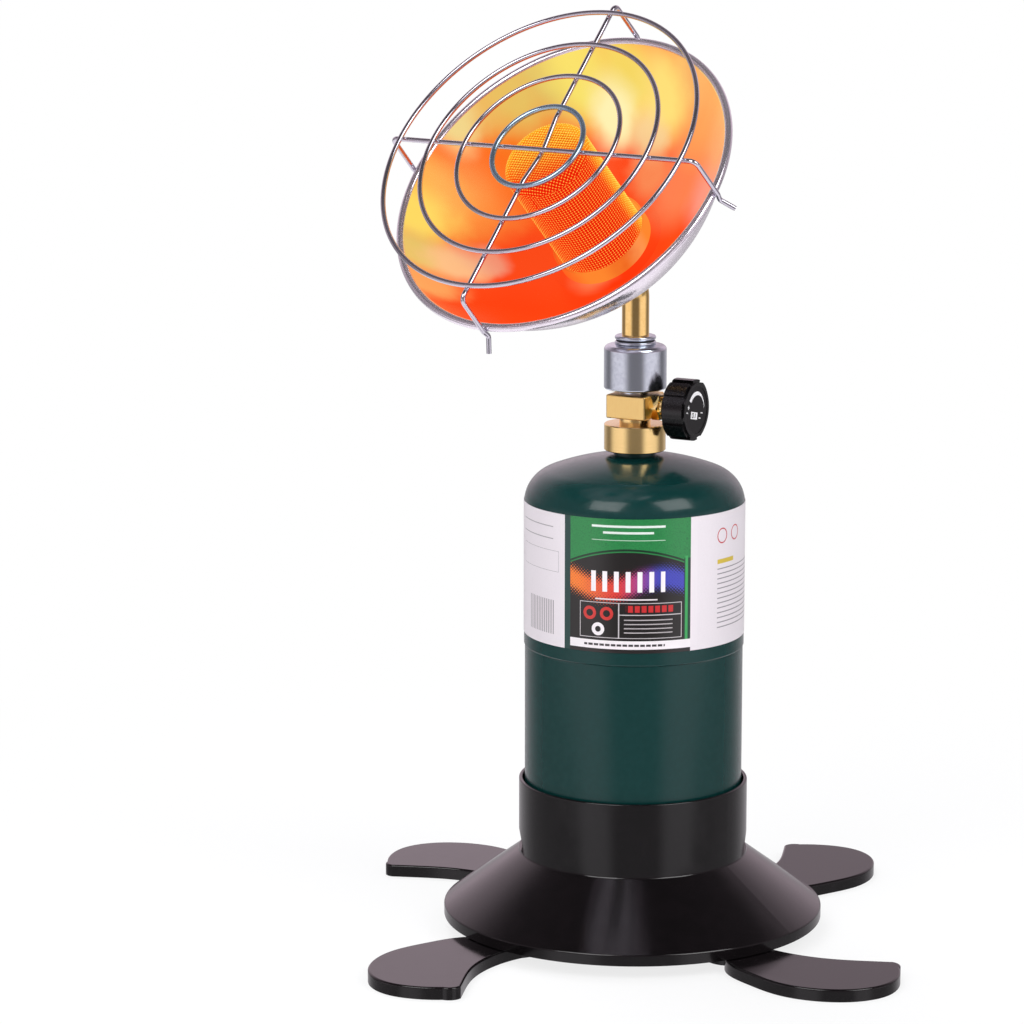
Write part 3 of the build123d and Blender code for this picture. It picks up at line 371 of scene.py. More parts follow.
@dataclass(frozen=True)
class GlowingWire(Finish):
    """Woven steel heated red, with painted highlights in pale yellow on its crests, yellower at the end cap's
    top and down its right side.
    """

    cool: str = "f01c02"
    warm: str = "f7a41a"
    cool_crest_highlight: str = "ffc64e"
    warm_crest_highlight: str = "fff068"
    flat_r: float = 15.5
    shoulder_r: float = 4.0
    shoulder_z: float = 14.0
    glow: float = 1.0
    crest_mm: tuple[float, float] = (0.16, 0.36)      # how far a crest stands out of the burner's face
    cap_mm: tuple[float, float] = (0.0, 3.0)          # rise from the tube's warmth to the cap's
    flank_way: tuple[float, float] = (0.56, 0.83)     # tube's warm side, in the dish's plane
    flank_mm: tuple[float, float] = (12.5, 19.5)
    high_way: tuple[float, float] = (-0.5, 0.87)      # cap's warm side
    high_mm: tuple[float, float] = (-15.0, 7.0)

    def pattern(self, tree: Tree, shader: Node) -> None:
        """Colour by how far a wire stands out of the burner's face, with painted highlights on the crests,
        and by side and by height.

        Args:
            tree: the node tree.
            shader: the principled shader.
        """
        super().pattern(tree, shader)
        u, v, height = local_axes(tree, DISH)
        spot = add_node(tree, "CombineXYZ", (u, v))
        radius = add_node(tree, "VectorMath", (spot,), operation="LENGTH")
        past = []
        for reach, limit in ((radius, self.flat_r), (height, self.shoulder_z)):
            more = add_node(tree, "Math", (reach, limit), operation="SUBTRACT")
            past.append(add_node(tree, "Math", (more, 0.0), operation="MAXIMUM"))
        bend = add_node(tree, "VectorMath", (add_node(tree, "CombineXYZ", past),), operation="LENGTH")
        stand = add_node(tree, "Math", (bend, self.shoulder_r), operation="SUBTRACT")
        # Where a wire's crest stands out, its colour gives way to the painted highlight.
        crest = add_node(tree, "MapRange", (stand, *self.crest_mm), **SMOOTH)
        cap = add_node(tree, "MapRange", (past[1], *self.cap_mm), **SMOOTH)
        sides = []
        for way, span in ((self.flank_way, self.flank_mm), (self.high_way, self.high_mm)):
            aside = add_node(tree, "VectorMath", (spot, (*way, 0.0)), operation="DOT_PRODUCT")
            sides.append(add_node(tree, "MapRange", (aside, *span), **SMOOTH))
        side = add_node(tree, "Mix", {0: cap, 2: sides[0], 3: sides[1]})
        under, over = [add_node(tree, "Mix", {0: side, 6: linear(cool), 7: linear(warm)}, data_type="RGBA")
                       for cool, warm in ((self.cool, self.warm), (self.cool_crest_highlight, self.warm_crest_highlight))]
        colour = add_node(tree, "Mix", {0: crest, 6: under, 7: over}, data_type="RGBA")
        feed(tree, shader, {"Emission Color": colour, "Emission Strength": self.glow})


class Motif(Enum):
    """What a printed patch holds."""

    SOLID = "solid"
    OUTLINE = "outline"
    RULED = "ruled"
    BARS = "bars"
    RING = "ring"


@dataclass(frozen=True)
class Print:
    """A printed patch: left and right edge, lower and upper edge, ink and motif."""

    left: float
    right: float
    low: float
    high: float
    ink: str
    motif: Motif = Motif.SOLID
    pitch: float = 2.0
    share: float = 0.3
    line: float = 0.25

    def mask(self, tree: Tree, x: Source, y: Source, stretch: float = 1.0) -> Node:
        """Where the ink lies.

        Args:
            tree: the node tree.
            x: the sideways coordinate.
            y: the upward coordinate.
            stretch: how many millimetres one step of x is.

        Returns:
            A node that gives 1 on the ink.
        """
        half_x, half_y = (self.right - self.left) / 2, (self.high - self.low) / 2
        inside = self.window(tree, x, y, half_x, half_y)
        if self.motif is Motif.SOLID:
            return inside
        if self.motif is Motif.OUTLINE:
            core = self.window(tree, x, y, half_x - self.line / stretch, half_y - self.line)
            return add_node(tree, "Math", (inside, core), operation="SUBTRACT", use_clamp=True)
        if self.motif is Motif.RING:
            across = add_node(tree, "Math", (x, (self.left + self.right) / 2), operation="SUBTRACT")
            across = add_node(tree, "Math", (across, stretch), operation="MULTIPLY")
            rise = add_node(tree, "Math", (y, (self.low + self.high) / 2), operation="SUBTRACT")
            gap = add_node(tree, "VectorMath", (add_node(tree, "CombineXYZ", (across, rise)),),
                           operation="LENGTH")
            return add_node(tree, "Math", (gap, half_y - self.line, self.line), operation="COMPARE")
        along = y if self.motif is Motif.RULED else add_node(tree, "Math", (x, stretch), operation="MULTIPLY")
        count = add_node(tree, "Math", (along, self.pitch), operation="DIVIDE")
        phase = add_node(tree, "Math", (count,), operation="FRACT")
        lines = add_node(tree, "Math", (phase, 0.5, self.share / 2), operation="COMPARE")
        return add_node(tree, "Math", (inside, lines), operation="MULTIPLY")

    def window(self, tree: Tree, x: Source, y: Source, half_x: float, half_y: float) -> Node:
        """A box about the patch's middle.

        Args:
            tree: the node tree.
            x: the sideways coordinate.
            y: the upward coordinate.
            half_x: half its width.
            half_y: half its height.

        Returns:
            A node that gives 1 inside.
        """
        wide = add_node(tree, "Math", (x, (self.left + self.right) / 2, half_x), operation="COMPARE")
        tall = add_node(tree, "Math", (y, (self.low + self.high) / 2, half_y), operation="COMPARE")
        return add_node(tree, "Math", (wide, tall), operation="MULTIPLY")


def print_over(tree: Tree, colour: Source, prints: tuple[Print, ...], x: Source, y: Source,
               stretch: float = 1.0) -> Source:
    """Lay printed patches over a colour, each over the one before.

    Args:
        tree: the node tree.
        colour: what they are printed on.
        prints: the patches.
        x: the sideways coordinate.
        y: the upward coordinate.
        stretch: how many millimetres one step of x is.

    Returns:
        The printed colour.
    """
    for patch in prints:
        mask = patch.mask(tree, x, y, stretch)
        colour = add_node(tree, "Mix", {0: mask, 6: colour, 7: linear(patch.ink)}, data_type="RGBA")
    return colour


@dataclass(frozen=True)
class LabelPrint(Finish):
    """Varnished film label: white side panels and a black and green front with plain shapes."""

    ground: tuple[Print, ...] = ()               # printed under the front panel
    prints: tuple[Print, ...] = ()               # printed over it
    mm_per_degree: float = 0.868
    panel: tuple[float, float] = (-2.15, 32.15)  # green panel's middle and half width, degrees
    black: tuple[float, float] = (-4.0, 30.3)    # black field's, likewise
    arch_middle: float = -3.0                    # arch over the black field: its middle, degrees,
    arch_top: float = 184.7                      # its height, mm,
    arch_fall: float = 0.0062                    # and its fall, mm per square degree
    fibre_mm: float = 0.55                       # mottling of the green ink
    dot_mm: float = 1.5                          # spacing of the halftone dots
    band_z: float = 169.0                        # middle of their band, mm,
    band_swing: float = 3.0                      # how far it waves up and down,
    band_turn: float = 0.11                      # and how fast, radians per degree
    band_reach: tuple[float, float] = (1.0, 9.0)     # dots shrink over this distance from it, mm

    def pattern(self, tree: Tree, shader: Node) -> None:
        """Print the patches one over another by angle and height.

        Args:
            tree: the node tree.
            shader: the principled shader.
        """
        x, y, z = local_axes(tree, Matrix.Rotation(math.radians(VIEW_AZIMUTH), 4, "Z"))
        turn = add_node(tree, "Math", (y, x), operation="ARCTAN2")
        angle = add_node(tree, "Math", (turn,), operation="DEGREES")
        tone = add_node(tree, "MapRange", (self.grain(tree, self.grain_mm), 0.3, 0.7, 0.0, 0.5), **SMOOTH)
        film = add_node(tree, "Mix", {0: tone, 6: linear(self.colour), 7: linear(self.shade)},
                        data_type="RGBA")
        colour = print_over(tree, film, self.ground, angle, z, self.mm_per_degree)
        colour = self.front(tree, colour, angle, z)
        colour = print_over(tree, colour, self.prints, angle, z, self.mm_per_degree)
        feed(tree, shader, {"Base Color": colour})

    def front(self, tree: Tree, under: Source, angle: Source, z: Source) -> Node:
        """Front panel: a green field over an arch, a black field under it and a band of coloured dots.

        Args:
            tree: the node tree.
            under: colour below the front panel.
            angle: the angle, degrees.
            z: the height, mm.

        Returns:
            The colour's node.
        """
        panel = add_node(tree, "Math", (angle, *self.panel), operation="COMPARE")
        field_window = add_node(tree, "Math", (angle, *self.black), operation="COMPARE")
        across = add_node(tree, "Math", (angle, self.arch_middle), operation="SUBTRACT")
        square = add_node(tree, "Math", (across, across), operation="MULTIPLY")
        sag = add_node(tree, "Math", (square, -self.arch_fall), operation="MULTIPLY")
        arch = add_node(tree, "Math", (sag, self.arch_top), operation="ADD")
        over = add_node(tree, "Math", (z, arch), operation="SUBTRACT")
        tone = add_node(tree, "MapRange", (self.grain(tree, self.fibre_mm, 2.0), 0.4, 0.75, 0.0, 0.6),
                        **SMOOTH)
        green = add_node(tree, "Mix", {0: tone, 6: linear("1c8340"), 7: linear("0e5a33")}, data_type="RGBA")
        colour = add_node(tree, "Mix", {0: panel, 6: under, 7: green}, data_type="RGBA")
        for width, below, ink in ((panel, 0.0, "06301c"), (panel, -0.9, "1d7a3c"),
                                  (field_window, -1.5, "15110f")):
            low = add_node(tree, "Math", (over, below), operation="LESS_THAN")
            mask = add_node(tree, "Math", (width, low), operation="MULTIPLY")
            colour = add_node(tree, "Mix", {0: mask, 6: colour, 7: linear(ink)}, data_type="RGBA")
        return self.dots(tree, colour, field_window, angle, z)

    def dots(self, tree: Tree, under: Source, window: Source, angle: Source, z: Source) -> Node:
        """Halftone dots, warm at the left and cool at the right, largest along the band's middle.

        Args:
            tree: the node tree.
            under: colour below the dots.
            window: mask of the black field.
            angle: the angle, degrees.
            z: the height, mm.

        Returns:
            The colour's node.
        """
        girth = add_node(tree, "Math", (angle, self.mm_per_degree), operation="MULTIPLY")
        side, rise = [add_node(tree, "Math", (length, self.dot_mm), operation="DIVIDE")
                      for length in (girth, z)]
        cells = []
        for slant in ("ADD", "SUBTRACT"):
            count = add_node(tree, "Math", (side, rise), operation=slant)
            share = add_node(tree, "Math", (count,), operation="FRACT")
            cells.append(add_node(tree, "Math", (share, 0.5), operation="SUBTRACT"))
        gap = add_node(tree, "VectorMath", (add_node(tree, "CombineXYZ", cells),), operation="LENGTH")
        turn = add_node(tree, "Math", (angle, self.band_turn), operation="MULTIPLY")
        wave = add_node(tree, "Math", (turn,), operation="SINE")
        swing = add_node(tree, "Math", (wave, self.band_swing), operation="MULTIPLY")
        middle = add_node(tree, "Math", (self.band_z, swing), operation="ADD")
        off = add_node(tree, "Math", (z, middle), operation="SUBTRACT")
        reach = add_node(tree, "Math", (off,), operation="ABSOLUTE")
        size = add_node(tree, "MapRange", (reach, *self.band_reach, 0.62, 0.0), **SMOOTH)
        dot = add_node(tree, "Math", (gap, size), operation="LESS_THAN")
        mask = add_node(tree, "Math", (dot, window), operation="MULTIPLY")
        ink = linear("f07a1e")
        for start, end, tint in ((-34.0, -8.0, "d8322a"), (-10.0, 14.0, "3a3fb0")):
            amount = add_node(tree, "MapRange", (angle, start, end), **SMOOTH)
            ink = add_node(tree, "Mix", {0: amount, 6: ink, 7: linear(tint)}, data_type="RGBA")
        return add_node(tree, "Mix", {0: mask, 6: under, 7: ink}, data_type="RGBA")


@dataclass(frozen=True)
class DialPrint(Finish):
    """Pad-printed marks on satin plastic: a tapering white crescent, ticks and a plain number."""

    prints: tuple[Print, ...] = ()
    white: str = "f2f0f0"
    crescent_r: float = 7.5                           # the crescent's radius, mm
    crescent: tuple[float, float] = (84.0, 71.0)      # its middle and half length, degrees
    taper: tuple[float, float] = (13.0, 120.0)        # it widens over these degrees
    half_mm: tuple[float, float] = (0.15, 0.95)       # from this half width to that

    def pattern(self, tree: Tree, shader: Node) -> None:
        """Print the crescent and the marks in the knob's own plane.

        Args:
            tree: the node tree.
            shader: the principled shader.
        """
        super().pattern(tree, shader)
        place = (Matrix.Translation((0, 0, STEM_Z * MM)) @ Matrix.Rotation(KNOB_TURN, 4, "Z")
                 @ Matrix.Rotation(DIAL_TURN, 4, "X"))
        _, u, v = local_axes(tree, place)
        radius = add_node(tree, "VectorMath", (add_node(tree, "CombineXYZ", (u, v)),), operation="LENGTH")
        turn = add_node(tree, "Math", (v, u), operation="ARCTAN2")
        angle = add_node(tree, "Math", (turn,), operation="DEGREES")
        half = add_node(tree, "MapRange", (angle, *self.taper, *self.half_mm), **SMOOTH)
        wide = add_node(tree, "Math", (radius, self.crescent_r, half), operation="COMPARE")
        long = add_node(tree, "Math", (angle, *self.crescent), operation="COMPARE")
        mask = add_node(tree, "Math", (wide, long), operation="MULTIPLY")
        disc = add_node(tree, "Mix", {0: mask, 6: linear(self.colour), 7: linear(self.white)},
                        data_type="RGBA")
        feed(tree, shader, {"Base Color": print_over(tree, disc, self.prints, u, v)})


# Moulded ABS: near black with a plum-tinted gloss, and a faint waviness that softens long reflections.
MOULDED_ABS = Finish("moulded gloss ABS", "0b090a", 0.13, grain_mm=9.0, shade="100c0e",
                     shade_amount=0.5, gloss_swing=0.05, relief_mm=0.003)
# Sprayed enamel on drawn steel: smooth colour under a clear gloss with a light orange peel.
GREEN_ENAMEL = Finish("sprayed green enamel", "0a3533", 0.2, specular=0.3, coat=0.15, coat_roughness=0.06,
                      grain_mm=2.5, shade="0c3937", shade_amount=0.5, relief_mm=0.002)
# Turned brass: satin warm yellow with fine marks round the turning axis.
TURNED_BRASS = Finish("turned brass", "ffdd98", 0.2, 1.0, grain_mm=0.3, lay=(0.02, 0.02, 1.0),
                      shade="fad188", gloss_swing=0.03, relief_mm=0.00012)
# Milled brass: flat faces that scatter the light evenly.
MILLED_BRASS = Finish("milled brass", "ffdb8e", 0.3, 1.0, grain_mm=0.35, lay=(1.0, 1.0, 0.1), shade="f8cc80",
                      gloss_swing=0.05, relief_mm=0.0004)
# Polished brass: bright hexagon flats that mirror the lamps.
BRIGHT_BRASS = Finish("polished brass", "ffdf94", 0.12, 1.0, grain_mm=0.4, shade="f6cc7c", gloss_swing=0.05)
# Drawn brass tube: mirror-bright along its length.
DRAWN_BRASS = Finish("drawn brass tube", "f8d088", 0.12, 1.0, grain_mm=1.6, shade="eec274", shade_amount=0.5,
                     gloss_swing=0.04)
# Sintered bronze: coarse, dull and porous.
SINTERED_BRONZE = Finish("sintered bronze", "a9713f", 0.6, 1.0, grain_mm=0.25, shade="7c4f2a",
                         shade_amount=0.6, relief_mm=0.05)
# Zinc plate on turned steel: blue-grey satin, clouded a little by the plating bath.
ZINC_PLATE = Finish("zinc-plated steel", "d0d6e0", 0.22, 1.0, grain_mm=1.8, shade="c3c9d6", shade_amount=0.4,
                    gloss_swing=0.04)
# Black-oxide screw steel: dark and slightly oily.
SCREW_STEEL = Finish("black-oxide steel", "55555a", 0.4, 1.0, grain_mm=0.5, shade="3c3c40")
# Spring steel: bright drawn wire.
SPRING_STEEL = Finish("spring steel", "9b9da3", 0.3, 1.0, grain_mm=0.4, shade="85878d")
# Chromed wire: dark where it mirrors the room, white where it mirrors the lamps.
CHROME_WIRE = Finish("chromed wire", "cbc8d2", 0.1, 0.95, grain_mm=1.2, shade="b6b2c0", gloss_swing=0.04)
# Heavier chromed wire with a cooler, bluer plate.
CHROME_RING = Finish("chromed inner ring", "a4bacd", 0.14, 0.86, grain_mm=1.2, shade="8ea6bb",
                     gloss_swing=0.04)
# Spun and polished steel: soft circles round the dish's axis on a lavender-white sheen.
POLISHED_STEEL = Finish("polished steel sheet", "e6dfe8", 0.16, 0.86, grain_mm=0.5, lay=(0.02, 0.02, 1.0),
                        place=DISH, shade="dcd5df", gloss_swing=0.04)
# Rubber: dark and matt.
RUBBER = Finish("nitrile rubber", "1a1a1b", 0.7, grain_mm=0.6, shade="242425", relief_mm=0.01)
# Knob nylon: black with a low sheen and a fine moulded grain.
KNOB_NYLON = Finish("moulded black nylon", "080708", 0.24, grain_mm=0.5, shade="0c0a0b",
                    relief_mm=0.002)
# Burner seat: thin pressed steel with a painted orange glow, a painted highlight in pale salmon and a painted
# shadow in dark red where the burner's foot meets it.
SEAT_STEEL = PaintedGlowDish("pressed steel with painted glow", "5a2412", 0.4, 1.0, grain_mm=0.8, glow=0.95, warm="f88a30",
                         glow_from_mm=-49.5, patches=(
    PaintedGlowPatch(-14, -14, 22, "ee5a1c", 0.9), PaintedGlowPatch(24, -4, 10, "f9a05c", 0.7),
    PaintedGlowPatch(12, -8, 12, "d43208", 0.8)))
# Burner wires: woven heat-resisting steel glowing red, with painted highlights in yellow on its outer crests.
HOT_WIRE = GlowingWire("hot woven steel", "4a1006", 0.5, 1.0, grain_mm=0.5)
# Inner burner mesh: the deep red seen between the wires.
HOT_CORE = GlowingWire("hot inner mesh", "3a0a04", 0.6, 1.0, grain_mm=0.7, cool="e01c04", warm="ec7a10",
                       cool_crest_highlight="e62205", warm_crest_highlight="f27412")
# Dish bowl: polished steel, reddish-brown, with a painted glow of the burner's light in soft yellow, orange
# and red patches.
DISH_PAINTED_GLOW = PaintedGlowDish("dish bowl with painted glow", "5c2a1c", 0.3, 1.0, grain_mm=0.5, glow=0.97,
                        warm="fc4a18", patches=(
    PaintedGlowPatch(34, -34, 62, "fe3208"), PaintedGlowPatch(-20, -56, 40, "fe3a0c"), PaintedGlowPatch(-46, 30, 36, "f9701a"),
    PaintedGlowPatch(-66, -2, 30, "fc8c3a"), PaintedGlowPatch(-56, 46, 26, "f57c1e"), PaintedGlowPatch(30, 32, 30, "fd8050"),
    PaintedGlowPatch(54, 22, 22, "ee9a86", 0.9), PaintedGlowPatch(56, 40, 20, "fda068", 0.9),
    PaintedGlowPatch(40, 56, 26, "f9a25a"), PaintedGlowPatch(34, 67, 18, "f0b066"),
    PaintedGlowPatch(-60, 50, 19, "e2c866", 0.9), PaintedGlowPatch(-69, 36, 15, "e8c468", 0.8),
    PaintedGlowPatch(-44, 64, 23, "dfc868"), PaintedGlowPatch(-27, 66, 24, "f4e46c"), PaintedGlowPatch(-6, 68, 24, "f0d862"),
    PaintedGlowPatch(14, 63, 22, "fbe27a"), PaintedGlowPatch(-13, 56, 17, "fdf4b4"), PaintedGlowPatch(6, 50, 14, "f6d69a", 0.85),
    PaintedGlowPatch(8, 36, 14, "f9925a", 0.8), PaintedGlowPatch(-76, 28, 17, "ecd88c"), PaintedGlowPatch(-76, -6, 20, "fcb050"),
    PaintedGlowPatch(-74, -22, 22, "fedc64"), PaintedGlowPatch(-64, -40, 18, "dfc46a"),
    PaintedGlowPatch(-52, -34, 15, "fcc48c", 0.9), PaintedGlowPatch(-46, -24, 12, "f0a888", 0.7),
    PaintedGlowPatch(-50, -56, 18, "f4a860", 0.9), PaintedGlowPatch(2, -16, 15, "fb8c58", 0.75)))
# Satin black nylon with crisp white marks: a crescent, ticks and a window that holds a plain number.
DIAL_NYLON = DialPrint("printed dial", "070607", 0.34, specular=0.35, grain_mm=0.5, shade="0a0909", prints=(
    Print(-9.0, -7.0, 0.3, 0.7, "f2f0f0"), Print(-8.2, -7.8, -0.5, 1.5, "f2f0f0"),
    Print(-9.6, -8.2, -2.2, -1.7, "e8e6e6"), Print(-5.0, 1.4, -4.2, -1.0, "f2f0f0"),
    Print(-3.9, -2.2, -3.7, -1.5, "151314", Motif.OUTLINE, line=0.45),
    Print(-1.0, -0.4, -3.7, -1.5, "151314"),
    Print(4.4, 6.4, -1.1, -0.6, "e8e6e6"), Print(2.8, 4.8, -3.5, -3.0, "e8e6e6")))
# Varnished polypropylene film: cool white, evenly lit, with inks that keep their colour under a soft gloss.
LABEL = LabelPrint("printed label film", "e8e0e4", 0.3, coat=0.4, coat_roughness=0.15, grain_mm=0.6,
                   shade="e2dade", ground=(Print(-37.9, 34.0, 137.0, 199.0, "0c3a35"),), prints=(
    Print(26.3, 30.0, 138.0, 180.0, "0a3b2b"), Print(26.9, 28.4, 138.0, 181.0, "2fa052"),
    Print(-34.3, 30.0, 138.0, 139.7, "1c1716"), Print(-34.3, 30.0, 139.7, 143.5, "efe8ea"),
    Print(30.0, 34.1, 137.0, 199.0, "e8e0e4"),
    Print(-28.5, 25.0, 144.6, 160.6, "c9c2c4", Motif.OUTLINE, line=0.3),
    Print(-8.0, -7.4, 144.6, 160.6, "c9c2c4"), Print(-7.4, 24.6, 155.0, 155.4, "c9c2c4"),
    Print(-4.0, 21.0, 156.4, 159.4, "c41f22", Motif.BARS, pitch=3.0, share=0.72),
    Print(-5.0, 20.0, 146.0, 153.6, "b9b1b3", Motif.RULED, pitch=1.9, share=0.24),
    Print(-26.0, -20.0, 152.6, 158.6, "c92a24", Motif.RING, line=0.7),
    Print(-17.0, -11.0, 152.6, 158.6, "c92a24", Motif.RING, line=0.7),
    Print(-21.5, -15.5, 145.6, 151.4, "ece6e8", Motif.RING, line=0.8),
    Print(-24.0, 16.0, 165.4, 174.6, "f0eaec", Motif.BARS, pitch=5.2, share=0.42),
    Print(-20.0, 12.0, 161.8, 162.4, "e4dcde"),
    Print(-22.0, 16.0, 194.2, 195.2, "dfe8e0"), Print(-16.0, 10.0, 191.4, 192.4, "dfe8e0"),
    Print(-22.0, 16.0, 188.4, 188.7, "b9d4bf"),
    Print(-68.0, -45.5, 143.2, 158.6, "9a9396", Motif.BARS, pitch=1.5, share=0.45),
    Print(-77.0, -42.0, 171.6, 181.0, "8d868a", Motif.OUTLINE, line=0.15),
    Print(-78.0, -46.0, 182.4, 196.0, "a29b9f", Motif.RULED, pitch=5.4, share=0.08),
    Print(-26.0, 16.0, 141.0, 142.0, "3b3537", Motif.BARS, pitch=2.6, share=0.8),
    Print(47.7, 90.0, 145.0, 173.0, "8d868a", Motif.RULED, pitch=2.2, share=0.22),
    Print(47.7, 62.0, 175.0, 177.0, "d4b83a"),
    Print(48.0, 55.0, 184.0, 191.0, "c2434a", Motif.RING, line=0.3),
    Print(60.0, 67.0, 184.0, 191.0, "c2434a", Motif.RING, line=0.3)))


# ---------------------------------------------------------------- sub-assemblies
@dataclass
class Stand:
    """Base shell on its four swing-out feet."""

    feet: int = 4

    def build(self) -> None:
        """Dress the base, its screws and the feet."""
        dress(MOULDED_ABS, "base_shell", *[f"foot_{i + 1}" for i in range(self.feet)])
        dress(SCREW_STEEL, "foot_screws")


@dataclass
class FuelCylinder:
    """Steel cylinder of two drawn shells under a printed label."""

    upper_r: float = 49.6
    lower_r: float = 49.2
    wall: float = 1.0
    lap_z: float = 131.7
    nose_r: float = 0.9
    bottom_z: float = 22.5
    bottom_knuckle_r: float = 13.0
    dome_z: float = 218.7
    crown_r: float = 110.0
    knuckle_r: float = 16.0
    label_z: tuple[float, float] = (138.0, 198.0)
    label_thick: float = 0.15

    def build(self) -> None:
        """Spin the shells and the label, and dress the neck and its valve core."""
        install(self.upper_shell(), GREEN_ENAMEL, "cylinder", "green_paint", "cylinder_upper_shell")
        install(self.lower_shell(), GREEN_ENAMEL, "cylinder", "green_paint", "cylinder_lower_shell")
        install(self.label(), LABEL, "cylinder", "label_print", "label_wrap")
        dress(GREEN_ENAMEL, "cylinder_foot_ring", "cylinder_neck")
        dress(TURNED_BRASS, "core_body", "core_poppet")
        dress(SPRING_STEEL, "core_spring")

    def dome(self, inset: float) -> Points:
        """Half profile of the dome, from the side wall to the axis.

        Args:
            inset: how far inside the outer face, mm.

        Returns:
            Points as radius and height, mm.
        """
        outer, crown, knuckle = self.upper_r, self.crown_r, self.knuckle_r
        centre_z = self.dome_z - crown
        knuckle_c = outer - knuckle
        reach = crown - knuckle
        knuckle_z = centre_z + math.sqrt(reach ** 2 - knuckle_c ** 2)
        meet = math.degrees(math.atan2(knuckle_z - centre_z, knuckle_c))
        return (arc((knuckle_c, knuckle_z), knuckle - inset, 0, meet, 14)
                + arc((0.0, centre_z), crown - inset, meet, 90, 16)[1:])

    def upper_shell(self) -> bpy.types.Object:
        """Drawn upper shell with its dome."""
        nose = arc((self.upper_r - self.nose_r, self.lap_z + self.nose_r), self.nose_r, -90, 0, 8)
        outside = nose + self.dome(0.0)
        inside = self.dome(self.wall)[::-1] + [(self.upper_r - self.wall, self.lap_z + 9.0),
                                               (self.upper_r - self.wall, self.lap_z)]
        return lathe("painted_upper_shell", outside + inside, rounding=0.25)

    def lower_shell(self) -> bpy.types.Object:
        """Drawn lower shell with its rounded bottom."""
        outer, knuckle, low = self.lower_r, self.bottom_knuckle_r, self.bottom_z
        turn = arc((outer - knuckle, low + knuckle), knuckle, -90, 0, 14)
        inner = arc((outer - knuckle, low + knuckle), knuckle - self.wall, 0, -90, 14)
        top = self.lap_z + 4.0
        tucked = outer - self.wall - 0.1
        profile = ([(0.0, low)] + turn + [(outer, self.lap_z - 0.6), (tucked + 0.5, self.lap_z + 0.6),
                   (tucked, top), (tucked - self.wall, top), (outer - self.wall, self.lap_z - 4.0)]
                   + inner + [(0.0, low + self.wall)])
        return lathe("painted_lower_shell", profile, rounding=0.15)

    def label(self) -> bpy.types.Object:
        """Film label round the upper shell."""
        inner, outer = self.upper_r + 0.01, self.upper_r + self.label_thick
        low, high = self.label_z
        return lathe("film_label", [(inner, low), (outer, low), (outer, high), (inner, high)])


@dataclass
class Valve:
    """Brass inlet connector, valve block, knob and what is inside them."""

    def build(self) -> None:
        """Dress the valve's pieces."""
        dress(TURNED_BRASS, "inlet_connector", "depressor", "needle_stem", "orifice_jet")
        dress(MILLED_BRASS, "valve_block")
        dress(BRIGHT_BRASS, "gland_nut")
        dress(SINTERED_BRONZE, "inlet_filter")
        dress(RUBBER, "inlet_gasket", "stem_packing")
        dress(KNOB_NYLON, "knob")
        dress(DIAL_NYLON, "knob_dial")


@dataclass
class Mixer:
    """Plated mixer sleeve, its washers and the bent brass tube."""

    def build(self) -> None:
        """Dress the sleeve, what it carries and the tube."""
        dress(ZINC_PLATE, "jet_holder", "mixer_sleeve", "tube_washer", "tube_collar")
        dress(RUBBER, "tube_seal")
        dress(DRAWN_BRASS, "mixing_tube")


@dataclass
class Dish:
    """Spun reflector with its bowl's painted glow, burner seat and fastening."""

    rim_r: float = 80.0
    sheet: float = 0.8
    bead_r: float = 1.8
    sphere_r: float = 85.4
    bowl_r: float = 77.0
    pad_r: float = 27.0
    hole_r: float = 8.7
    skin: float = 0.04           # lining with the painted glow: thin enough not to show as a step

    def build(self) -> None:
        """Spin the bowl's two faces, and dress the seat and the nut."""
        install(self.shell(), POLISHED_STEEL, "heater", "polished_steel", "reflector")
        install(self.lining(), DISH_PAINTED_GLOW, "heater", "polished_steel")
        dress(SEAT_STEEL, "burner_seat")
        dress(ZINC_PLATE, "back_washer", "locknut")

    def bowl(self, offset: float, count: int = 28) -> Points:
        """Half profile of the bowl from its pad to its rim.

        Args:
            offset: distance outwards from the inner face, mm.
            count: points along the curve.

        Returns:
            Points as radius and height, mm.
        """
        centre = math.sqrt(self.sphere_r ** 2 - self.bowl_r ** 2)
        radius = self.sphere_r + offset
        start = -math.degrees(math.acos(self.pad_r / radius))
        end = -math.degrees(math.asin(centre / radius))
        return arc((0.0, centre), radius, start, end, count)

    def shell(self) -> bpy.types.Object:
        """Outer face, pad and rolled bead."""
        outside = self.bowl(self.sheet)
        inside = self.bowl(0.0)
        bead = arc((self.rim_r - self.bead_r, 0.0), self.bead_r, -150, 165, 20)
        pad_z = inside[0][1]
        profile = ([(self.hole_r, pad_z), (self.hole_r, pad_z - self.sheet)] + outside[:-1] + bead
                   + inside[::-1])
        return lathe("spun_dish", profile, DISH, steps=216)

    def lining(self) -> bpy.types.Object:
        """Thin inner skin of the bowl that carries the painted glow."""
        inner = self.bowl(-self.skin)
        outer = self.bowl(-self.skin / 4)
        pad_z = inner[0][1] + self.skin
        profile = [(self.hole_r, pad_z), (inner[0][0], pad_z)] + inner + outer[::-1]
        return lathe("dish_painted_glow_lining", profile, DISH, steps=216)


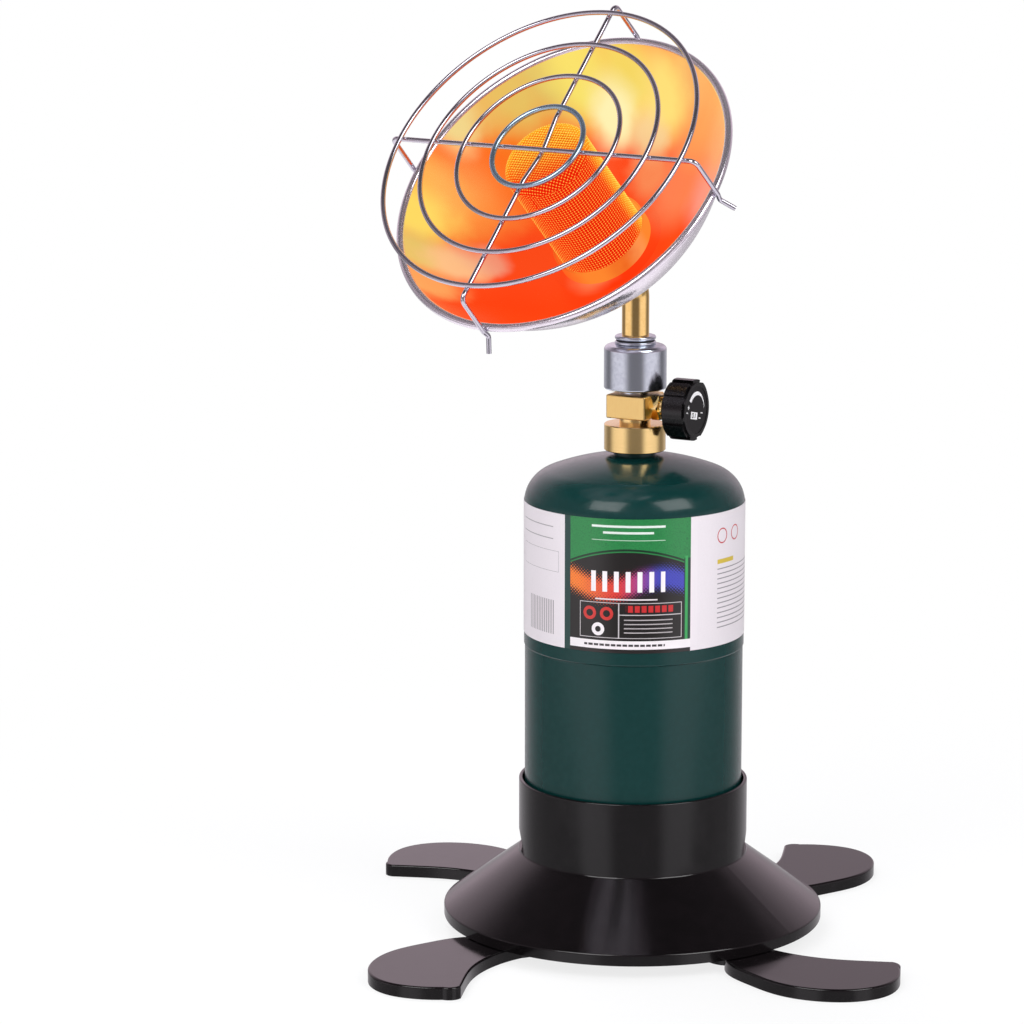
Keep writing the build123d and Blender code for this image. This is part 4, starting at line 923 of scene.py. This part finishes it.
@dataclass
class Burner:
    """Two mesh tubes with a woven cap."""

    radius: float = 19.5
    foot_h: float = -42.9
    top_h: float = 18.0
    shoulder_r: float = 4.0
    wire_r: float = 0.26
    wave: float = 0.2
    uprights: int = 92
    hoops: int = 43
    cap_pitch: float = 1.3
    hole_r: float = 4.0
    hole_h: float = 9.0

    def build(self) -> None:
        """Weave the tube and the cap."""
        install(self.woven_tube(), HOT_WIRE, "heater", "burner_steel", "burner_mesh")
        install(self.woven_cap(), HOT_WIRE, "heater", "burner_steel", "burner_cap")
        dress(HOT_CORE, "burner_inner_mesh")

    def crossing(self, turn: int, row: int, over: bool) -> Vector:
        """Where an upright and a hoop cross.

        Args:
            turn: number of the upright.
            row: number of the hoop.
            over: whether the wire asked for is the upright.

        Returns:
            The point in the dish's frame, metres.
        """
        angle = math.tau * turn / self.uprights
        sign = 1 if (turn + row) % 2 == 0 else -1
        radius = self.radius + self.wave * (sign if over else -sign)
        height = self.foot_h + (self.top_h - self.shoulder_r - self.foot_h) * row / (self.hoops - 1)
        return Vector((radius * math.sin(angle), radius * math.cos(angle), height)) * MM

    def in_hole(self, point: Vector) -> bool:
        """Whether a crossing falls in the ignition hole."""
        across = math.atan2(point.x, point.y) * self.radius
        return math.hypot(across, point.z / MM - self.hole_h) < self.hole_r and point.y > 0

    def wires(self, name: str, runs: list[list[Vector]], closed: bool = False) -> bpy.types.Object:
        """Make wires of small square section along runs of points.

        Args:
            name: the piece's name.
            runs: the points of each wire, in the dish's frame.
            closed: whether each wire is a hoop.

        Returns:
            A mesh object in the dish's place.
        """
        curve = bpy.data.curves.new(name, "CURVE")
        curve.dimensions = "3D"
        curve.bevel_depth = self.wire_r * MM
        curve.bevel_resolution = 0
        curve.use_fill_caps = True
        for run in runs:
            spline = curve.splines.new("POLY")
            spline.points.add(len(run) - 1)
            for point, place in zip(spline.points, run):
                point.co = (*place, 1.0)
            spline.use_cyclic_u = closed and len(run) == self.uprights
        holder = bpy.data.objects.new(name + "_line", curve)
        mesh = bpy.data.meshes.new_from_object(holder)
        bpy.data.objects.remove(holder)
        mesh.transform(DISH)
        mesh.name = name
        piece = bpy.data.objects.new(name, mesh)
        bpy.context.scene.collection.objects.link(piece)
        return piece

    def cut_at_hole(self, run: list[Vector]) -> list[list[Vector]]:
        """Split a run of points where it crosses the ignition hole.

        Args:
            run: points along one wire.

        Returns:
            The parts that are left.
        """
        parts: list[list[Vector]] = [[]]
        for point in run:
            if self.in_hole(point):
                parts.append([])
            else:
                parts[-1].append(point)
        return [part for part in parts if len(part) > 1]

    def woven_tube(self) -> bpy.types.Object:
        """Plain weave of uprights and hoops round the burner's axis."""
        half = self.uprights // 2
        runs = []
        for turn in range(self.uprights):
            runs += self.cut_at_hole([self.crossing(turn, row, True) for row in range(self.hoops)])
        for row in range(self.hoops):
            turns = [(turn + half) % self.uprights for turn in range(self.uprights)]
            runs += self.cut_at_hole([self.crossing(turn, row, False) for turn in turns])
        return self.wires("woven_burner_tube", runs, closed=True)

    def on_cap(self, across: float, up: float, lift: float) -> Vector:
        """Wrap a flat point over the cap's round shoulder.

        Args:
            across: first coordinate in the flat sheet, mm.
            up: second coordinate, mm.
            lift: height above the sheet, mm.

        Returns:
            The point in the dish's frame, metres.
        """
        reach = math.hypot(across, up)
        flat = self.radius - self.shoulder_r
        bend = max(reach - flat, 0.0) / self.shoulder_r
        stretch = (flat + (self.shoulder_r + lift) * math.sin(bend)) / reach if bend else 1.0
        height = self.top_h - self.shoulder_r + (self.shoulder_r + lift) * math.cos(bend)
        return Vector((across * stretch, up * stretch, height)) * MM

    def woven_cap(self) -> bpy.types.Object:
        """Disc of the same weave, pressed over a round shoulder, that closes the tube."""
        pitch = self.cap_pitch
        sheet_r = self.radius - self.shoulder_r + self.shoulder_r * math.pi / 2
        count = int(sheet_r / pitch)
        runs = []
        for line in range(-count, count + 1):
            steps = int(math.sqrt(sheet_r ** 2 - (line * pitch) ** 2) / pitch)
            if steps < 1:
                continue
            for along_x in (True, False):
                run = []
                for step in range(-steps, steps + 1):
                    lift = self.wave * (1 if (line + step) % 2 == 0 else -1) * (1 if along_x else -1)
                    a, b = (step * pitch, line * pitch) if along_x else (line * pitch, step * pitch)
                    run.append(self.on_cap(a, b, lift))
                runs.append(run)
        return self.wires("woven_burner_cap", runs)


@dataclass
class Guard:
    """Four wire rings on two crossed wires."""

    rings: int = 4

    def build(self) -> None:
        """Dress the rings and wires."""
        dress(CHROME_RING, "guard_ring_1")
        dress(CHROME_WIRE, *[f"guard_ring_{i + 1}" for i in range(1, self.rings)],
              "guard_wire_level", "guard_wire_upright")


# ---------------------------------------------------------------- studio
@dataclass(frozen=True)
class Softbox:
    """A square lamp that faces the heater from a distance, and whether gloss shows it."""

    name: str
    azimuth: float       # degrees right of the camera
    elevation: float     # degrees
    watts: float = 16.0
    side: float = 1.1    # metres
    gap: float = 2.0     # metres from the heater's middle
    mirrored: bool = True


@dataclass
class Studio:
    """Camera, white room and lamps."""

    eye: Vector = field(default_factory=lambda: Vector((1.0368, -1.4725, 0.540)))
    target: Vector = field(default_factory=lambda: Vector((-0.0440, -0.0330, 0.1918)))
    lens: float = 143.5
    ambient: float = 0.55
    middle_z: float = 0.2                            # height of the heater's middle, metres
    softboxes: tuple[Softbox, ...] = (Softbox("left softbox", -33.0, 38.0),
                                      Softbox("right softbox", 49.0, 38.0),
                                      Softbox("top softbox", -150.0, 55.0, mirrored=False))
    floor_half: float = 30.0
    floor_drop: float = 0.0002                       # under the feet, so no faces share a plane
    shadow: Slope = (0.15, 0.55, 0.8, 1.0)           # how much of the floor shines, by distance
    wall: Slope = (-17.0, -9.0, 0.33, 0.19)          # mirrored wall, by elevation
    window: Slope = (-17.0, -9.0, 0.74, 1.08)        # windows in it, by elevation
    window_half: Slope = (-16.5, -9.0, 15.0, 31.0)   # their half width, by elevation
    window_middles: tuple[Slope, ...] = ((-16.5, -9.0, -36.0, -66.0), (-16.5, -9.0, 45.0, 66.0))
    window_edge: Slope = (0.55, 1.5, 1.0, 0.0)       # their soft edge, in half widths
    rear: Slope = (112.0, 155.0)                     # wall beyond the heater, by angle from the camera
    rear_level: float = 0.55
    ground: Slope = (-34.0, -18.0)                   # where the pale ground ends, by elevation
    ground_level: float = 1.15
    horizon: Slope = (-4.0, 8.0)                     # where the upper room starts, by elevation
    upper: Slope = (95.0, 165.0, 0.3, 1.0)           # upper room, by angle from the camera
    shaded: Slope = (150.0, 176.0, 0.95, 0.6)        # and its far right, by azimuth
    ceiling: Slope = (26.0, 50.0, 1.0, 0.2)          # darkening towards the ceiling, by elevation
    warmth: Slope = (-10.0, 6.0)                     # change of tint, by elevation

    def build(self) -> None:
        """Make the camera, the room and the lamps."""
        scene = bpy.context.scene
        scene.view_settings.view_transform = "Standard"
        self.camera(scene)
        self.world(scene)
        self.floor()
        for box in self.softboxes:
            self.hang(box)

    def camera(self, scene: bpy.types.Scene) -> None:
        """Set the camera."""
        data = bpy.data.cameras.new("camera")
        data.lens, data.sensor_width = self.lens, 36.0
        data.clip_end = 100.0
        camera = bpy.data.objects.new("camera", data)
        camera.location = self.eye
        camera.rotation_euler = (self.target - self.eye).to_track_quat("-Z", "Y").to_euler()
        scene.collection.objects.link(camera)
        scene.camera = camera

    def world(self, scene: bpy.types.Scene) -> None:
        """White room for the camera, with dark flags in front and overhead for reflections."""
        world = bpy.data.worlds.new("studio")
        scene.world = world
        world.use_nodes = True
        tree = world.node_tree
        tree.nodes.clear()
        way = add_node(tree, "TexCoord").outputs["Generated"]
        turned = add_node(tree, "Mapping", {"Vector": way, "Rotation": (0, 0, math.radians(-VIEW_AZIMUTH))})
        right, ahead, up = add_node(tree, "SeparateXYZ", (turned,)).outputs
        azimuth, height = [add_node(tree, "Math", (turn,), operation="DEGREES") for turn in (
            add_node(tree, "Math", (ahead, right), operation="ARCTAN2"),
            add_node(tree, "Math", (up,), operation="ARCSINE"))]
        zenith = add_node(tree, "MapRange", (height, *self.ceiling), **SMOOTH)
        level = add_node(tree, "Math", (self.around(tree, azimuth, height), zenith), operation="MULTIPLY")
        warmth = add_node(tree, "MapRange", (height, *self.warmth), **SMOOTH)
        tint = add_node(tree, "Mix", {0: warmth, 6: linear("fffaff"), 7: linear("ffe9f5")}, data_type="RGBA")
        mirrored = add_node(tree, "Background", (tint, level))
        seen = add_node(tree, "Background", (linear(WHITE), 1.0))
        soft = add_node(tree, "Background", (linear("f6f7ff"), self.ambient))
        path = add_node(tree, "LightPath").outputs
        glossy = add_node(tree, "Math", (path["Is Glossy Ray"], path["Is Transmission Ray"]), operation="ADD",
                          use_clamp=True)
        unseen = add_node(tree, "MixShader", (glossy, soft, mirrored))
        shown = add_node(tree, "MixShader", (path["Is Camera Ray"], unseen, seen))
        add_node(tree, "OutputWorld", (shown,))

    def around(self, tree: Tree, azimuth: Source, height: Source) -> Node:
        """Level of the mirrored room: two slanting windows low down, pale floor below, a pale wall behind.

        Args:
            tree: the node tree.
            azimuth: the direction, degrees right of the camera.
            height: the elevation, degrees.

        Returns:
            The level's node.
        """
        low, peak, half = [add_node(tree, "MapRange", (height, *slope), **SMOOTH)
                           for slope in (self.wall, self.window, self.window_half)]
        for slope in self.window_middles:
            middle = add_node(tree, "MapRange", (height, *slope), **SMOOTH)
            off = add_node(tree, "Math", (azimuth, middle), operation="SUBTRACT")
            gap = add_node(tree, "Math", (add_node(tree, "Math", (off,), operation="ABSOLUTE"), half),
                           operation="DIVIDE")
            near = add_node(tree, "MapRange", (gap, *self.window_edge), **SMOOTH)
            low = add_node(tree, "Mix", {0: near, 2: low, 3: peak})
        away = add_node(tree, "Math", (azimuth,), operation="ABSOLUTE")
        rear = add_node(tree, "MapRange", (away, *self.rear), **SMOOTH)
        low = add_node(tree, "Mix", {0: rear, 2: low, 3: self.rear_level})
        raised = add_node(tree, "MapRange", (height, *self.ground), **SMOOTH)
        low = add_node(tree, "Mix", {0: raised, 2: self.ground_level, 3: low})
        upper = add_node(tree, "MapRange", (away, *self.upper), **SMOOTH)
        shaded = add_node(tree, "MapRange", (azimuth, *self.shaded), **SMOOTH)
        high = add_node(tree, "Math", (upper, shaded), operation="MULTIPLY")
        horizon = add_node(tree, "MapRange", (height, *self.horizon), **SMOOTH)
        return add_node(tree, "Mix", {0: horizon, 2: low, 3: high})

    def floor(self) -> None:
        """White floor that keeps a soft shadow."""
        bm = bmesh.new()
        bmesh.ops.create_grid(bm, x_segments=2, y_segments=2, size=self.floor_half)
        floor = finish_mesh("floor", bm, Matrix.Translation((0, 0, -self.floor_drop)))
        material = bpy.data.materials.new("white paper floor")
        material.use_nodes = True
        tree = material.node_tree
        tree.nodes.clear()
        paper = add_node(tree, "BsdfDiffuse", {"Color": linear("f4f4f4")})
        lit = add_node(tree, "Emission", {"Color": linear(WHITE), "Strength": 1.0})
        path = add_node(tree, "LightPath").outputs["Is Camera Ray"]
        place = add_node(tree, "TexCoord").outputs["Object"]
        reach = add_node(tree, "VectorMath", (place,), operation="LENGTH")
        fade = add_node(tree, "MapRange", (reach, *self.shadow), **SMOOTH)
        share = add_node(tree, "Math", (path, fade), operation="MULTIPLY")
        add_node(tree, "OutputMaterial", (add_node(tree, "MixShader", (share, paper, lit)),))
        floor.data.materials.append(material)
        floor.visible_glossy = False

    def hang(self, box: Softbox) -> None:
        """Hang a lamp.

        Args:
            box: the lamp.
        """
        lamp = bpy.data.lights.new(box.name, "AREA")
        lamp.shape, lamp.energy = "RECTANGLE", box.watts
        lamp.size = lamp.size_y = box.side
        turn, rise = math.radians(VIEW_AZIMUTH + box.azimuth), math.radians(box.elevation)
        way = Vector((math.cos(turn) * math.cos(rise), math.sin(turn) * math.cos(rise), math.sin(rise)))
        holder = bpy.data.objects.new(box.name, lamp)
        holder.location = way * box.gap + Vector((0, 0, self.middle_z))
        holder.rotation_euler = (-way).to_track_quat("-Z", "Y").to_euler()
        holder.visible_glossy = box.mirrored
        bpy.context.scene.collection.objects.link(holder)


def main() -> None:
    """Build the sub-assemblies in order."""
    logging.basicConfig(level=logging.INFO, format="%(name)s: %(message)s")
    for part in (Studio(), Stand(), FuelCylinder(), Valve(), Mixer(), Dish(), Burner(), Guard()):
        log.info("%s", type(part).__name__)
        part.build()
    bpy.context.view_layer.update()


if __name__ == "__main__":
    main()
